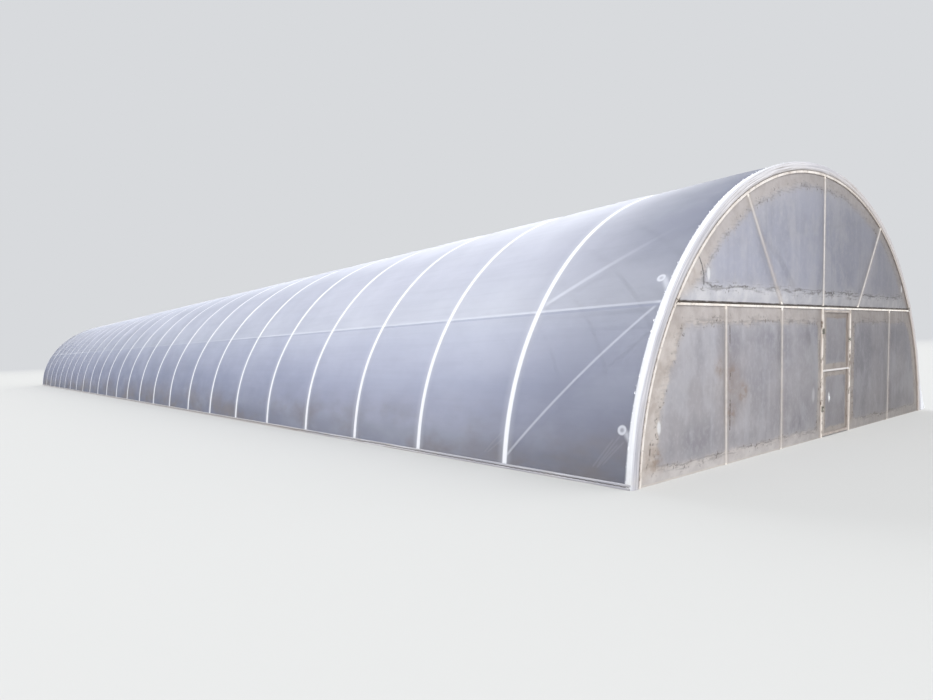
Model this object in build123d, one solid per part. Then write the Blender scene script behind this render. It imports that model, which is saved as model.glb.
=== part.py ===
"""Polytunnel greenhouse at half real size: tube hoops under an inflated pair of films, closed by two
film gables, with a hinged door in the front one.

X runs across the tunnel, Y along it from the front gable to the back one, Z up. The origin is at the
middle of the overall box, on the ground. Lengths are millimetres on the half-size model.
"""
from build123d import *
import math
import os

os.makedirs("parts", exist_ok=True)

# Bays and outer form of the cover
bay = 1000.0  # from one hoop to the next
bay_count = 25
span = 5040.0  # outside width of the cover at the ground
height = 2120.0  # outside height of the cover at the ridge
leg_length = 92.0  # straight foot of the arch
leg_lean = 5.7  # degrees the foot leans in from upright
knee_radius = 1970.0  # outside radius of the arc above the foot
knee_end = 27.0  # degrees from upright where the haunch arc starts
haunch_end = 66.3  # degrees from upright where the crown arc starts

# Films
cover_depth = 20.0  # the two cover films and the air between them
gable_depth = 6.0  # the gable's pair of films
seat = 0.3  # between pieces that bear on one another
strip_names = ["skirt", "wall", "shoulder", "haunch", "crown"]  # equal lengths, from the foot up

# Tubes
hoop_tube = 30.0  # across the flats
purlin_tube = 24.0
brace_tube = 18.0
tube_sides = 8  # round tubes are drawn with flats
gable_tube = 25.0  # square posts, struts and jambs
beam_height = 30.0
beam_level = 1040.0  # middle of the gable beam

# Base rail with its film groove
rail_height = 30.0
groove_height = 8.0
groove_depth = 5.0

# Rim and clamps on the gables
hem_over = 10.7  # cover film wrapped round the end of the tunnel and past the hoop
hem_depth = 14.0
hem_chamfer = 9.0
clamp_flange = 3.0
clamp_start = 4.0  # the plate's outer edge, inside the cover's outer face
clamp_groove = 5.0  # open groove between the wrapped film and the rib
clamp_rib = 16.0
clamp_depth = 13.0
post_clamp = 22.0

# Gable posts, measured from the middle of the tunnel
outer_post_x = 1505.0
inner_post_x = 715.0
strut_top_angle = 63.0
jamb_left_x = -5.0
jamb_right_x = 560.0

# Door
door_gap = 5.0
door_free_gap = 6.5
door_floor_gap = 8.0
door_bar = 20.0
door_mid_level = 534.0
door_mid_bar = 14.0
hinge_levels = [231.0, 848.0]
hinge_height = 44.0
hinge_radius = 5.0
hinge_pin_radius = 2.2
hinge_pin_slack = 0.3
hinge_leaf = 18.0
hinge_plate = 2.0
hinge_step = 0.5  # between the lower and the upper knuckle
latch_level = 775.0
latch_height = 46.0
latch_width = 14.0
latch_knob_radius = 5.0
latch_knob_reach = 9.0
keeper_height = 24.0

# First-bay braces
brace_high_angle = 54.7
brace_drop = 75.0  # brace ends keep this far from the side purlin
brace_foot_level = 110.0

# Air jumpers between the films
jumper_tube = 16.0
jumper_sides = 6
collar_radius = 26.0
collar_thickness = 5.0
collar_height = 30.0
collar_width = 15.0
jumper_high_y = 129.0
jumper_high_angle = 37.6
jumper_high_x = 1728.0
jumper_high_z = 1189.0
jumper_low_y = 113.0
jumper_low_angle = 12.4
jumper_low_x = 2265.0
jumper_low_z = 290.0
jumper_lead = 85.0
jumper_low_lead = 62.0
door_collar_x = 149.0
door_collar_z = 307.0

ridge_angle = 90.0
tunnel_length = bay * bay_count
hoop_depth = cover_depth + seat + hoop_tube / 2
hem_width = hoop_depth + hoop_tube / 2 + hem_over
hoop_point = hoop_tube / 2 / math.cos(math.radians(30))
face_y = hoop_point + seat
lock_front = face_y + clamp_depth
rib_start = hem_width + clamp_groove
clamp_end = rib_start + clamp_rib
front_reach = lock_front + seat + hinge_plate + latch_knob_reach
back_reach = face_y + hem_depth
front_y = -(tunnel_length + front_reach + back_reach) / 2 + front_reach


def sin_deg(angle):
    return math.sin(math.radians(angle))


def cos_deg(angle):
    return math.cos(math.radians(angle))


# The haunch and crown radii follow from the span and the height, because the arcs meet tangentially.
rest_x = span / 2 - leg_length * sin_deg(leg_lean)
rest_x -= knee_radius * (cos_deg(leg_lean) - cos_deg(knee_end))
rest_z = height - leg_length * cos_deg(leg_lean)
rest_z -= knee_radius * (sin_deg(knee_end) - sin_deg(leg_lean))
haunch_x = cos_deg(knee_end) - cos_deg(haunch_end)
crown_x = cos_deg(haunch_end)
haunch_z = sin_deg(haunch_end) - sin_deg(knee_end)
crown_z = 1 - sin_deg(haunch_end)
determinant = haunch_x * crown_z - crown_x * haunch_z
haunch_radius = (rest_x * crown_z - crown_x * rest_z) / determinant
crown_radius = (haunch_x * rest_z - haunch_z * rest_x) / determinant


def away(point, angle, distance):
    """The point moved outwards along the arch's normal at this angle from upright."""
    return (point[0] + distance * cos_deg(angle), point[1] + distance * sin_deg(angle))


knee_start = (
    span / 2 - leg_length * sin_deg(leg_lean),
    leg_length * cos_deg(leg_lean),
)
knee_centre = away(knee_start, leg_lean, -knee_radius)
haunch_start = away(knee_centre, knee_end, knee_radius)
haunch_centre = away(haunch_start, knee_end, -haunch_radius)
crown_start = away(haunch_centre, haunch_end, haunch_radius)
crown_centre = away(crown_start, haunch_end, -crown_radius)


def arch_at(angle, depth):
    """Right half of the arch: the point at this angle, this deep inside the cover's outer face."""
    if angle <= knee_end:
        return away(knee_centre, angle, knee_radius - depth)
    if angle <= haunch_end:
        return away(haunch_centre, angle, haunch_radius - depth)
    return away(crown_centre, angle, crown_radius - depth)


def foot_at(depth, level):
    """Point of the straight foot at this height, this deep inside the cover's outer face."""
    along = (level + depth * sin_deg(leg_lean)) / cos_deg(leg_lean)
    x = span / 2 - depth * cos_deg(leg_lean) - along * sin_deg(leg_lean)
    return (x, level)


def angle_at_level(level, depth):
    """The angle at which the arch, this deep, reaches a height."""
    low, high = leg_lean, ridge_angle
    for _ in range(50):
        middle = (low + high) / 2
        if arch_at(middle, depth)[1] < level:
            low = middle
        else:
            high = middle
    return (low + high) / 2


def curve(start, stop, depth, y, side=1):
    """Edges of the arch from one angle to another on one side, split where its arcs meet."""
    stops = [start]
    stops += [a for a in (knee_end, haunch_end) if start < a < stop]
    stops.append(stop)
    edges = []
    for low, high in zip(stops, stops[1:]):
        ends = [arch_at(a, depth) for a in (low, (low + high) / 2, high)]
        points = [(side * x, y, z) for x, z in ends]
        edges.append(ThreePointArc(*points))
    return edges


def arch_face(outer, inner, level, y):
    """A face between two depths of the whole arch, or inside one depth where inner is None."""
    edges = []
    for depth in (outer, inner):
        if depth is None:
            continue
        for side in (1, -1):
            foot = foot_at(depth, level)
            start = arch_at(leg_lean, depth)
            edges.append(Line((side * foot[0], y, level), (side * start[0], y, start[1])))
            edges += curve(leg_lean, ridge_angle, depth, y, side)
    outer_foot = foot_at(outer, level)[0]
    if inner is None:
        edges.append(Line((-outer_foot, y, level), (outer_foot, y, level)))
        return make_face(edges)
    inner_foot = foot_at(inner, level)[0]
    for side in (1, -1):
        edges.append(Line((side * outer_foot, y, level), (side * inner_foot, y, level)))
    return make_face(edges)


def min_depth(edge):
    """How far inside the cover's outer face the middle of an edge lies."""
    middle = edge @ 0.5
    x, z = abs(middle.X), middle.Z
    best = abs((span / 2 - x) * cos_deg(leg_lean) - z * sin_deg(leg_lean))
    for centre, radius in (
        (knee_centre, knee_radius),
        (haunch_centre, haunch_radius),
        (crown_centre, crown_radius),
    ):
        best = min(best, abs(radius - math.hypot(x - centre[0], z - centre[1])))
    return best


def arch_prism(outer, inner, level, y_low, y_high):
    return extrude(arch_face(outer, inner, level, y_low), amount=y_high - y_low, dir=(0, 1, 0))


def box_between(x_low, x_high, y_low, y_high, z_low, z_high):
    body = Box(x_high - x_low, y_high - y_low, z_high - z_low)
    return Pos((x_low + x_high) / 2, (y_low + y_high) / 2, (z_low + z_high) / 2) * body


def round_bar(corner_radius, length):
    """A straight round tube, drawn with flats, one of which faces X."""
    profile = RegularPolygon(radius=corner_radius, side_count=tube_sides)
    profile = Rot(0, 0, 180 / tube_sides) * profile
    return Pos(0, 0, -length / 2) * extrude(profile, amount=length)


def mirrored(shape):
    return mirror(shape, about=Plane.YZ)


def as_back(shape):
    """The same piece on the back gable."""
    return Pos(0, tunnel_length, 0) * mirror(shape, about=Plane.XZ)


def angle_at_share(share):
    """The angle at this share of the length of half the arch, from the foot to the ridge."""
    arcs = (
        (leg_lean, knee_end, knee_radius),
        (knee_end, haunch_end, haunch_radius),
        (haunch_end, ridge_angle, crown_radius),
    )
    lengths = [radius * math.radians(high - low) for low, high, radius in arcs]
    rest = share * (leg_length + sum(lengths)) - leg_length
    for (low, high, radius), length in zip(arcs, lengths):
        if rest <= length:
            return low + math.degrees(rest / radius)
        rest -= length
    return ridge_angle


# The side purlin lies where the gable beam meets the arch.
side_angle = angle_at_level(beam_level, 0.0)

# Hoop: a rolled tube drawn as short straight runs, with a bend under every purlin.
bend_angles = [leg_lean + i * (side_angle - leg_lean) / 3 for i in range(1, 4)]
bend_angles += [side_angle + i * (haunch_end - side_angle) / 3 for i in range(1, 4)]
bend_angles += [haunch_end + i * (ridge_angle - haunch_end) / 3 for i in range(1, 4)]
right_path = [foot_at(hoop_depth, 0.0)] + [arch_at(a, hoop_depth) for a in bend_angles]


def half_turn(angle):
    """Half the turn, in degrees, that the hoop makes at one of its bends."""
    place = min(range(len(bend_angles)), key=lambda i: abs(bend_angles[i] - angle))
    below = bend_angles[place - 1]
    above = 2 * ridge_angle - below
    if place + 1 < len(bend_angles):
        above = bend_angles[place + 1]
    return (above - below) / 4


def path_normal(first, second):
    """Outward normal of one run of the hoop, as the hoop is followed from foot to ridge."""
    dx, dz = second[0] - first[0], second[1] - first[1]
    length = math.hypot(dx, dz)
    return (dz / length, -dx / length)


def path_offset(distance, level):
    """Corners of a line parallel to the right half of the hoop, distance outwards from it."""
    normals = [path_normal(a, b) for a, b in zip(right_path, right_path[1:])]
    nx, nz = normals[0]
    first, second = right_path[0], right_path[1]
    slope = (second[0] - first[0]) / (second[1] - first[1])
    rise = level - (first[1] + distance * nz)
    corners = [(first[0] + distance * nx + rise * slope, level)]
    for point, low, high in zip(right_path[1:-1], normals, normals[1:]):
        sx, sz = low[0] + high[0], low[1] + high[1]
        scale = 2 * distance / (sx * sx + sz * sz)
        corners.append((point[0] + sx * scale, point[1] + sz * scale))
    last = normals[-1]
    top = right_path[-1]
    corners.append((0.0, top[1] + distance / last[1]))
    return corners


def seat_on_hoop(level, clearance):
    """Point beside the inner side of the hoop at this height, and the run's outward normal."""
    inner = path_offset(-(hoop_tube / 2 + clearance), 0.0)
    for low, high in zip(inner, inner[1:]):
        if low[1] <= level <= high[1]:
            share = (level - low[1]) / (high[1] - low[1])
            return (low[0] + share * (high[0] - low[0]), level)
    return inner[-1]


def hoop():
    below = 60.0
    points = [(x, 0.0, z) for x, z in right_path]
    start = right_path[0]
    normal = path_normal(right_path[0], right_path[1])
    points[0] = (start[0] + below * normal[1], 0.0, start[1] - below * normal[0])
    path = Polyline(*points, *[(-x, y, z) for x, y, z in reversed(points[:-1])])
    plane = Plane(origin=path @ 0, x_dir=(0, 1, 0), z_dir=path % 0)
    section = plane * RegularPolygon(radius=hoop_point, side_count=6)
    tube = sweep(section, path=path, transition=Transition.RIGHT)
    return split(tube, bisect_by=Plane.XY, keep=Keep.TOP)


one_hoop = hoop()
inside_corners = path_offset(-(hoop_tube / 2 + seat), -10.0)
inside_points = inside_corners + [(-x, z) for x, z in reversed(inside_corners[:-1])]
inside_face = make_face(Polyline(*[(x, -200.0, z) for x, z in inside_points], close=True))
inside_frame = extrude(inside_face, amount=400.0, dir=(0, 1, 0))
inside_clamps = arch_prism(clamp_end + seat, None, -10.0, -200.0, 200.0)

pieces = {}
pieces["hoops"] = [Pos(0, bay * i, 0) * one_hoop for i in range(1, bay_count)]
pieces["end_hoop_front"] = [one_hoop]
pieces["end_hoop_back"] = [Pos(0, tunnel_length, 0) * one_hoop]


# Purlins lie inside the hoops, at their bends.
def purlin_reach(angle):
    """From the middle of the hoop to the middle of the purlin that lies in its bend."""
    bend = math.radians(half_turn(angle))
    half_flat = purlin_tube / 2 * math.tan(math.pi / tube_sides)
    return hoop_tube / 2 / math.cos(bend) + seat + half_flat * math.tan(bend) + purlin_tube / 2


def purlin(angle):
    x, z = away(arch_at(angle, hoop_depth), angle, -purlin_reach(angle))
    tube = round_bar(purlin_tube / 2 / math.cos(math.pi / tube_sides), tunnel_length + hoop_tube)
    return Pos(x, tunnel_length / 2, z) * Rot(0, -angle, 0) * Rot(90, 0, 0) * tube


side_purlin = purlin(side_angle)
upper_purlin = purlin(haunch_end)
pieces["side_purlins"] = [side_purlin, mirrored(side_purlin)]
pieces["upper_purlins"] = [upper_purlin, mirrored(upper_purlin), purlin(ridge_angle)]

# Base rails: the film groove faces out, the hoops' feet stand behind them.
rail_inside = foot_at(cover_depth + seat, 0.0)[0] + seat
rail = box_between(
    rail_inside, span / 2, -hoop_point, tunnel_length + hoop_point, 0.0, rail_height
)
groove_low = (rail_height - groove_height) / 2
rail -= box_between(
    span / 2 - groove_depth,
    span / 2 + 1,
    -hoop_point - 1,
    tunnel_length + hoop_point + 1,
    groove_low,
    groove_low + groove_height,
)
pieces["base_rails"] = [rail, mirrored(rail)]


# Cover: strips of the inflated pair of films, side by side from the base rail to the ridge.
def cover_strip(start, stop):
    y = -hoop_point
    level = rail_height + seat
    outer = curve(max(start, leg_lean), stop, 0.0, y)
    inner = curve(max(start, leg_lean), stop, cover_depth, y)
    low = []
    if start < leg_lean:
        for depth in (0.0, cover_depth):
            foot = foot_at(depth, level)
            knee = arch_at(leg_lean, depth)
            low.append(Line((foot[0], y, foot[1]), (knee[0], y, knee[1])))
        ends = [foot_at(depth, level) for depth in (0.0, cover_depth)]
    else:
        ends = [arch_at(start, depth) for depth in (0.0, cover_depth)]
    tops = [arch_at(stop, depth) for depth in (0.0, cover_depth)]
    closing = []
    for first, second in (ends, tops):
        closing.append(Line((first[0], y, first[1]), (second[0], y, second[1])))
    face = make_face(outer + inner + low + closing)
    return extrude(face, amount=tunnel_length + 2 * hoop_point, dir=(0, 1, 0))


strip_count = len(strip_names)
strip_ends = [angle_at_share((i + 1) / strip_count) for i in range(strip_count - 1)] + [ridge_angle]
strip_starts = [0.0] + strip_ends[:-1]
for name, start, stop in zip(strip_names, strip_starts, strip_ends):
    strip = cover_strip(start, stop)
    pieces["cover_right_" + name] = [strip]
    pieces["cover_left_" + name] = [mirrored(strip)]


# Rim: a plate on the end hoop with the rib of the film clamp, and the cover film wrapped over it.
clamp = arch_prism(clamp_start, clamp_end, 0.0, -face_y - clamp_flange, -face_y)
clamp += arch_prism(rib_start, clamp_end, 0.0, -lock_front, -face_y - clamp_flange / 2)
hem_back = -face_y - clamp_flange - seat
hem_front = -face_y - hem_depth
hem = arch_prism(0.0, hem_width, 0.0, hem_front, hem_back)
hem_faces = hem.faces().filter_by(GeomType.PLANE).sort_by(Axis.Y)
outer_edges = [e for e in hem_faces[0].outer_wire().edges() if min_depth(e) < 1.0]
hem = chamfer(outer_edges, hem_chamfer)
pieces["cover_hem_front"] = [hem]
pieces["film_clamp_front"] = [clamp]
pieces["cover_hem_back"] = [as_back(hem)]
pieces["film_clamp_back"] = [as_back(clamp)]

# Gable frame of square tubes behind the film, cut to the inside of the end hoop.
tube_back = -hoop_point + gable_tube
beam_low = beam_level - beam_height / 2
beam_high = beam_level + beam_height / 2
beam = box_between(-span / 2, span / 2, -hoop_point, tube_back, beam_low, beam_high) & inside_frame
pieces["gable_beam_front"] = [beam]
pieces["gable_beam_back"] = [as_back(beam)]


def bar_between(low, high, width, y_low, y_high):
    """A straight bar in the gable's plane between two points, longer than them at the upper end."""
    dx, dz = high[0] - low[0], high[1] - low[1]
    length = math.hypot(dx, dz)
    body = Box(length, y_high - y_low, width)
    middle = ((low[0] + high[0]) / 2, (low[1] + high[1]) / 2)
    turn = -math.degrees(math.atan2(dz, dx))
    return Pos(middle[0], (y_low + y_high) / 2, middle[1]) * Rot(0, turn, 0) * body


def upright(x, width, y_low, y_high, z_low, z_high):
    return box_between(x - width / 2, x + width / 2, y_low, y_high, z_low, z_high)


strut_top = arch_at(strut_top_angle, 0.0)
strut_foot = (inner_post_x, beam_level)
upper_half = box_between(-span, span, -200, 200, beam_high + seat, height * 2)
strut = bar_between(strut_foot, strut_top, gable_tube, -hoop_point, tube_back)
strut = strut & inside_frame & upper_half
centre_post = upright(0.0, gable_tube, -hoop_point, tube_back, beam_high + seat, height)
centre_post = centre_post & inside_frame
# the ridge purlin lies inside the hoop, so the post stops under it
purlin_room = hoop_depth + purlin_reach(ridge_angle) + purlin_tube / 2 + seat
centre_post -= upright(0.0, gable_tube * 2, -200, 200, height - purlin_room, height)


def lower_post(x):
    return upright(x, gable_tube, -hoop_point, tube_back, 0.0, beam_low - seat)


upper_bars = [strut, mirrored(strut), centre_post]
front_lower = [lower_post(-outer_post_x), lower_post(-inner_post_x), lower_post(outer_post_x)]
back_lower = [lower_post(side * x) for side in (1, -1) for x in (outer_post_x, inner_post_x)]
pieces["gable_posts_front"] = front_lower + upper_bars
pieces["gable_posts_back"] = [as_back(bar) for bar in back_lower + upper_bars]

# Clamps on the face of the gable: a flanged one along the beam, flat ones along the posts.
rib_low = beam_level - 18.0
rib_high = rib_low + 14.0
flange_high = rib_high + 10.0
beam_clamp = box_between(-span / 2, span / 2, -face_y - clamp_flange, -face_y, rib_low, flange_high)
beam_clamp += box_between(-span / 2, span / 2, -lock_front, -face_y - clamp_flange / 2, rib_low, rib_high)
beam_clamp = beam_clamp & inside_clamps
film_front = face_y + gable_depth
strip_back = -film_front - seat


def post_strip(x):
    return upright(x, post_clamp, -lock_front, strip_back, 0.0, rib_low - seat)


upper_room = box_between(-span, span, -200, 200, flange_high + seat, height * 2)
strut_strip = bar_between(strut_foot, strut_top, post_clamp, -lock_front, strip_back)
strut_strip = strut_strip & inside_clamps & upper_room
centre_strip = upright(0.0, post_clamp, -lock_front, strip_back, flange_high + seat, height)
centre_strip = centre_strip & inside_clamps
upper_strips = [strut_strip, mirrored(strut_strip), centre_strip]
front_strips = [post_strip(-outer_post_x), post_strip(-inner_post_x), post_strip(outer_post_x)]
back_strips = [post_strip(side * x) for side in (1, -1) for x in (outer_post_x, inner_post_x)]
pieces["gable_clamps_front"] = [beam_clamp] + front_strips + upper_strips
pieces["gable_clamps_back"] = [as_back(s) for s in [beam_clamp] + back_strips + upper_strips]

# Door jambs stand from the ground to the beam; their clamps come forward to the face.
jambs = []
jamb_clamps = []
for x in (jamb_left_x, jamb_right_x):
    jambs.append(lower_post(x))
    jamb_clamps.append(upright(x, gable_tube, -lock_front, -face_y, 0.0, rib_low - seat))
pieces["door_jambs"] = jambs
pieces["door_jamb_clamps"] = jamb_clamps

# Gable films: one panel over the beam, the lower wall split beside the doorway.
film = arch_prism(clamp_end + seat, None, 0.0, -film_front, -face_y)
upper_film = film & upper_room
low_room = rib_low - seat
lower_film = film & box_between(-span, span, -200, 200, 0.0, low_room)
left_edge = jamb_left_x - gable_tube / 2 - seat
right_edge = jamb_right_x + gable_tube / 2 + seat
pieces["gable_film_upper_front"] = [upper_film]
pieces["gable_film_left_front"] = [lower_film & box_between(-span, left_edge, -200, 200, -1, height)]
pieces["gable_film_right_front"] = [lower_film & box_between(right_edge, span, -200, 200, -1, height)]
pieces["gable_film_upper_back"] = [as_back(upper_film)]
pieces["gable_film_lower_back"] = [as_back(lower_film)]


# First-bay braces lie against the inner side of the end hoop and of the first hoop.
def brace(end_level, hoop_level):
    reach = seat + brace_tube / 2
    first = seat_on_hoop(end_level, reach)
    second = seat_on_hoop(hoop_level, reach)
    start = Vector(first[0], 0.0, first[1])
    stop = Vector(second[0], bay, second[1])
    run = stop - start
    tube = round_bar(brace_tube / 2, run.length)
    return Plane(origin=(start + stop) * 0.5, z_dir=run.normalized()) * tube


purlin_level = arch_at(side_angle, hoop_depth)[1]
high_level = arch_at(brace_high_angle, hoop_depth)[1]
brace_up = brace(high_level, purlin_level + brace_drop)
brace_down = brace(purlin_level - brace_drop, brace_foot_level)
braces = [brace_up, brace_down, mirrored(brace_up), mirrored(brace_down)]
pieces["braces_front"] = braces
pieces["braces_back"] = [as_back(tube) for tube in braces]


# Air jumpers: a short hose from the cover's inner film to the gable's, with a collar at each end.
def jumper(angle, y, end_x, end_z, lead):
    root = arch_at(angle, cover_depth + seat)
    start = Vector(root[0], y, root[1])
    inward = Vector(-cos_deg(angle), 0, -sin_deg(angle))
    stop = Vector(end_x, -face_y + seat, end_z)
    outward = Vector(0, 1, 0)
    points = [start, start + inward * lead, stop + outward * lead, stop]
    runs = [b - a for a, b in zip(points, points[1:])]
    radii = []
    for low, high in zip(runs, runs[1:]):
        turn = low.get_angle(high)
        shorter = min(low.length, high.length)
        radii.append(0.45 * shorter / math.tan(math.radians(turn / 2)))
    path = FilletPolyline(*points, radius=radii)
    profile = RegularPolygon(radius=jumper_tube / 2, side_count=jumper_sides)
    section = Plane(origin=path @ 0, z_dir=path % 0) * profile
    hose = sweep(section, path=path)
    for point, direction in ((start, inward), (stop, outward)):
        disc = extrude(RegularPolygon(radius=collar_radius, side_count=12), amount=collar_thickness)
        hose += Plane(origin=point, z_dir=direction) * disc
    return hose


jumper_high = jumper(jumper_high_angle, jumper_high_y, jumper_high_x, jumper_high_z, jumper_lead)
jumper_low = jumper(jumper_low_angle, jumper_low_y, jumper_low_x, jumper_low_z, jumper_low_lead)
pieces["air_jumpers"] = [mirrored(jumper_high), mirrored(jumper_low), jumper_high]

# Door: a frame of bars with a mid rail, a film in each half, hung on the left jamb.
door_left = jamb_left_x + gable_tube / 2 + door_gap
door_right = jamb_right_x - gable_tube / 2 - door_free_gap
door_low = door_floor_gap
door_high = rib_low - door_gap
door_front = -lock_front
door_back = door_front + door_bar
frame = box_between(door_left, door_right, door_front, door_back, door_low, door_high)
mid_low = door_mid_level - door_mid_bar / 2
mid_high = door_mid_level + door_mid_bar / 2
panes = []
for z_low, z_high in ((door_low + door_bar, mid_low), (mid_high, door_high - door_bar)):
    x_low = door_left + door_bar
    x_high = door_right - door_bar
    frame -= box_between(x_low, x_high, door_front - 1, door_back + 1, z_low, z_high)
    middle_y = (door_front + door_back) / 2
    panes.append(
        box_between(
            x_low + seat,
            x_high - seat,
            middle_y - gable_depth / 2,
            middle_y + gable_depth / 2,
            z_low + seat,
            z_high - seat,
        )
    )
pieces["door_frame"] = [frame]
pieces["door_film"] = panes

# Lift-off hinges: the jamb's leaf carries the pin, the door's leaf turns on it.
hinge_x = jamb_left_x + gable_tube / 2 + door_gap / 2
hinge_y = -(lock_front + hinge_radius + 1.0)
plate_back = -(lock_front + seat)
plate_front = plate_back - hinge_plate
jamb_leaves = []
door_leaves = []
for level in hinge_levels:
    half = hinge_height / 2
    step = hinge_step / 2
    inner = hinge_radius + 1.0
    leaf = box_between(
        hinge_x - inner - hinge_leaf, hinge_x - inner, plate_front, plate_back, level - half, level + half
    )
    leaf += box_between(hinge_x - inner, hinge_x, plate_front, plate_back, level - half, level - step)
    knuckle = Cylinder(hinge_radius, half - step)
    leaf += Pos(hinge_x, hinge_y, level - half / 2 - step / 2) * knuckle
    leaf += Pos(hinge_x, hinge_y, level) * Cylinder(hinge_pin_radius, hinge_height - 4.0)
    jamb_leaves.append(leaf)
    moving = box_between(
        hinge_x + inner, hinge_x + inner + hinge_leaf, plate_front, plate_back, level - half, level + half
    )
    moving += box_between(hinge_x, hinge_x + inner, plate_front, plate_back, level + step, level + half)
    moving += Pos(hinge_x, hinge_y, level + half / 2 + step / 2) * knuckle
    moving -= Pos(hinge_x, hinge_y, level) * Cylinder(hinge_pin_radius + hinge_pin_slack, hinge_height * 2)
    door_leaves.append(moving)
pieces["jamb_hinges"] = jamb_leaves
pieces["door_hinges"] = door_leaves

# Latch plate with a knob on the door's free stile, and its keeper on the jamb.
latch_x = door_right - door_bar / 2
latch_low = latch_level - latch_height / 2
latch = upright(latch_x, latch_width, plate_front, plate_back, latch_low, latch_low + latch_height)
knob = Cylinder(latch_knob_radius, latch_knob_reach)
latch += Pos(latch_x, plate_front - latch_knob_reach / 2, latch_level) * Rot(90, 0, 0) * knob
pieces["door_latch"] = [latch]
keeper_low = latch_level - keeper_height / 2
pieces["latch_keeper"] = [
    upright(jamb_right_x, latch_width, plate_front - 3.0, plate_back, keeper_low, keeper_low + keeper_height)
]

# Collar of the door's own air connection, on the outer film.
collar_y = (door_front + door_back) / 2 - gable_depth / 2 - seat
collar = Plane(origin=(door_collar_x, collar_y, door_collar_z), x_dir=(1, 0, 0), z_dir=(0, -1, 0)) * extrude(
    chamfer(Rectangle(collar_width, collar_height).vertices(), collar_width / 3), amount=collar_thickness
)
pieces["door_air_collar"] = [collar]

for name, solids in pieces.items():
    placed = [Pos(0, front_y, 0) * solid for solid in solids]
    shape = placed[0] if len(placed) == 1 else Compound(children=placed)
    export_step(shape, "parts/" + name + ".step")
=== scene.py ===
"""Looks of the half-size polytunnel greenhouse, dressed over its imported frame.

X runs across the tunnel, Y along it from the front gable to the back one, Z up. Lengths are metres.
"""

import math

import bmesh
import bpy
import numpy as np
from mathutils import Matrix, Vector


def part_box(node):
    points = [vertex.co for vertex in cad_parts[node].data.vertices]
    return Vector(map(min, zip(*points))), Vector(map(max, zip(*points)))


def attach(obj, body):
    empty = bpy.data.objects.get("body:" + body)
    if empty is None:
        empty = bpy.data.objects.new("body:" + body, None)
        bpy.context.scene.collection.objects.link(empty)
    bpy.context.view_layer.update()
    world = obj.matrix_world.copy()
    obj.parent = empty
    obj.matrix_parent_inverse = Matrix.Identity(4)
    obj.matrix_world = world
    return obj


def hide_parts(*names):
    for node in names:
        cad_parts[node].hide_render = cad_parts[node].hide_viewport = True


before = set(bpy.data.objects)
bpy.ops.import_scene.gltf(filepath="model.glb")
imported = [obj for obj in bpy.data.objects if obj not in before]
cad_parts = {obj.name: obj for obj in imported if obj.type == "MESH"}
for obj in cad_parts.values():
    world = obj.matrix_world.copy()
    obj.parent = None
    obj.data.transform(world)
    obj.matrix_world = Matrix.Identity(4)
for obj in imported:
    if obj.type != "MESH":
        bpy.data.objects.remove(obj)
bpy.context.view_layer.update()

# The tunnel's own sizes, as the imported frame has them
BAY = 1.0
BAYS = 25
SPAN = 5.04
HEIGHT = 2.12
LEG = 0.092
LEAN = 5.7
KNEE_END = 27.0
HAUNCH_END = 66.3
KNEE_RADIUS = 1.97
HOOP_HALF = 0.01732
FRONT = -12.49485  # middle of the front end hoop
BACK = FRONT + BAY * BAYS
END = {-1: FRONT, 1: BACK}
FACE = 0.01762  # from the end hoop's middle to the gable's clamping face
FILM_FRONT = FACE + 0.006
CLAMP_END = 0.082
FILM_FOOT = 0.0315  # developed length at which the cover leaves the base rail
BEAM_LOW = 1.0217
BEAM_HIGH = 1.0463
JAMB_LEFT = -0.005
JAMB_RIGHT = 0.560
JAMB_GAP = 0.0128  # from these to the film beside the door
MID_RAIL = (0.5267, 0.5413)  # where the door's lower pane ends and its upper one starts
PURLIN_Z = 1.045
HOSE_HIGH = (2.045, 0.090, 1.194)
HOSE_LOW = (-2.473, 0.070, 0.325)
POSTS_LOW = ((-1.505, 0.8), (-0.715, 0.6), (1.505, 0.45))
POSTS_BACK = ((-1.505, 0.7), (-0.715, 0.6), (0.715, 0.6), (1.505, 0.7))

# Marks on the gable's film. Points are (x, z); a stain also has a size, a flange a strength and a size
STAINS = (
    ((-1.60, 0.64), 0.10),
    ((-1.44, 0.56), 0.13),
    ((-1.30, 0.46), 0.11),
    ((-1.47, 0.33), 0.11),
    ((-2.30, 0.14), 0.12),
)
# dark lines; the three right of the first post are a painted shadow of the post
DARK_LINES = (
    ((-1.466, 0.903), (-1.466, 0.775)),
    ((-1.462, 0.60), (-1.466, 0.55)),
    ((-1.465, 0.42), (-1.468, 0.22)),
    ((-2.345, 0.245), (-2.357, 0.15)),
    ((-2.366, 0.13), (-2.386, 0.097)),
    ((-0.062, 0.78), (-0.070, 0.55)),
)
DROOP_LINE = ((-1.815, 1.311), (-1.795, 1.265), (-1.783, 1.205), (-1.780, 1.145))
FLANGES = (
    ((-1.728, 1.215), 0.9, 0.024),
    ((1.823, 1.236), 0.8, 0.022),
    ((-2.266, 0.322), 0.9, 0.024),
    ((-0.188, 0.357), 0.30, 0.034),
    ((0.140, 0.316), 0.8, 0.024),
)


# The arch


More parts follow.
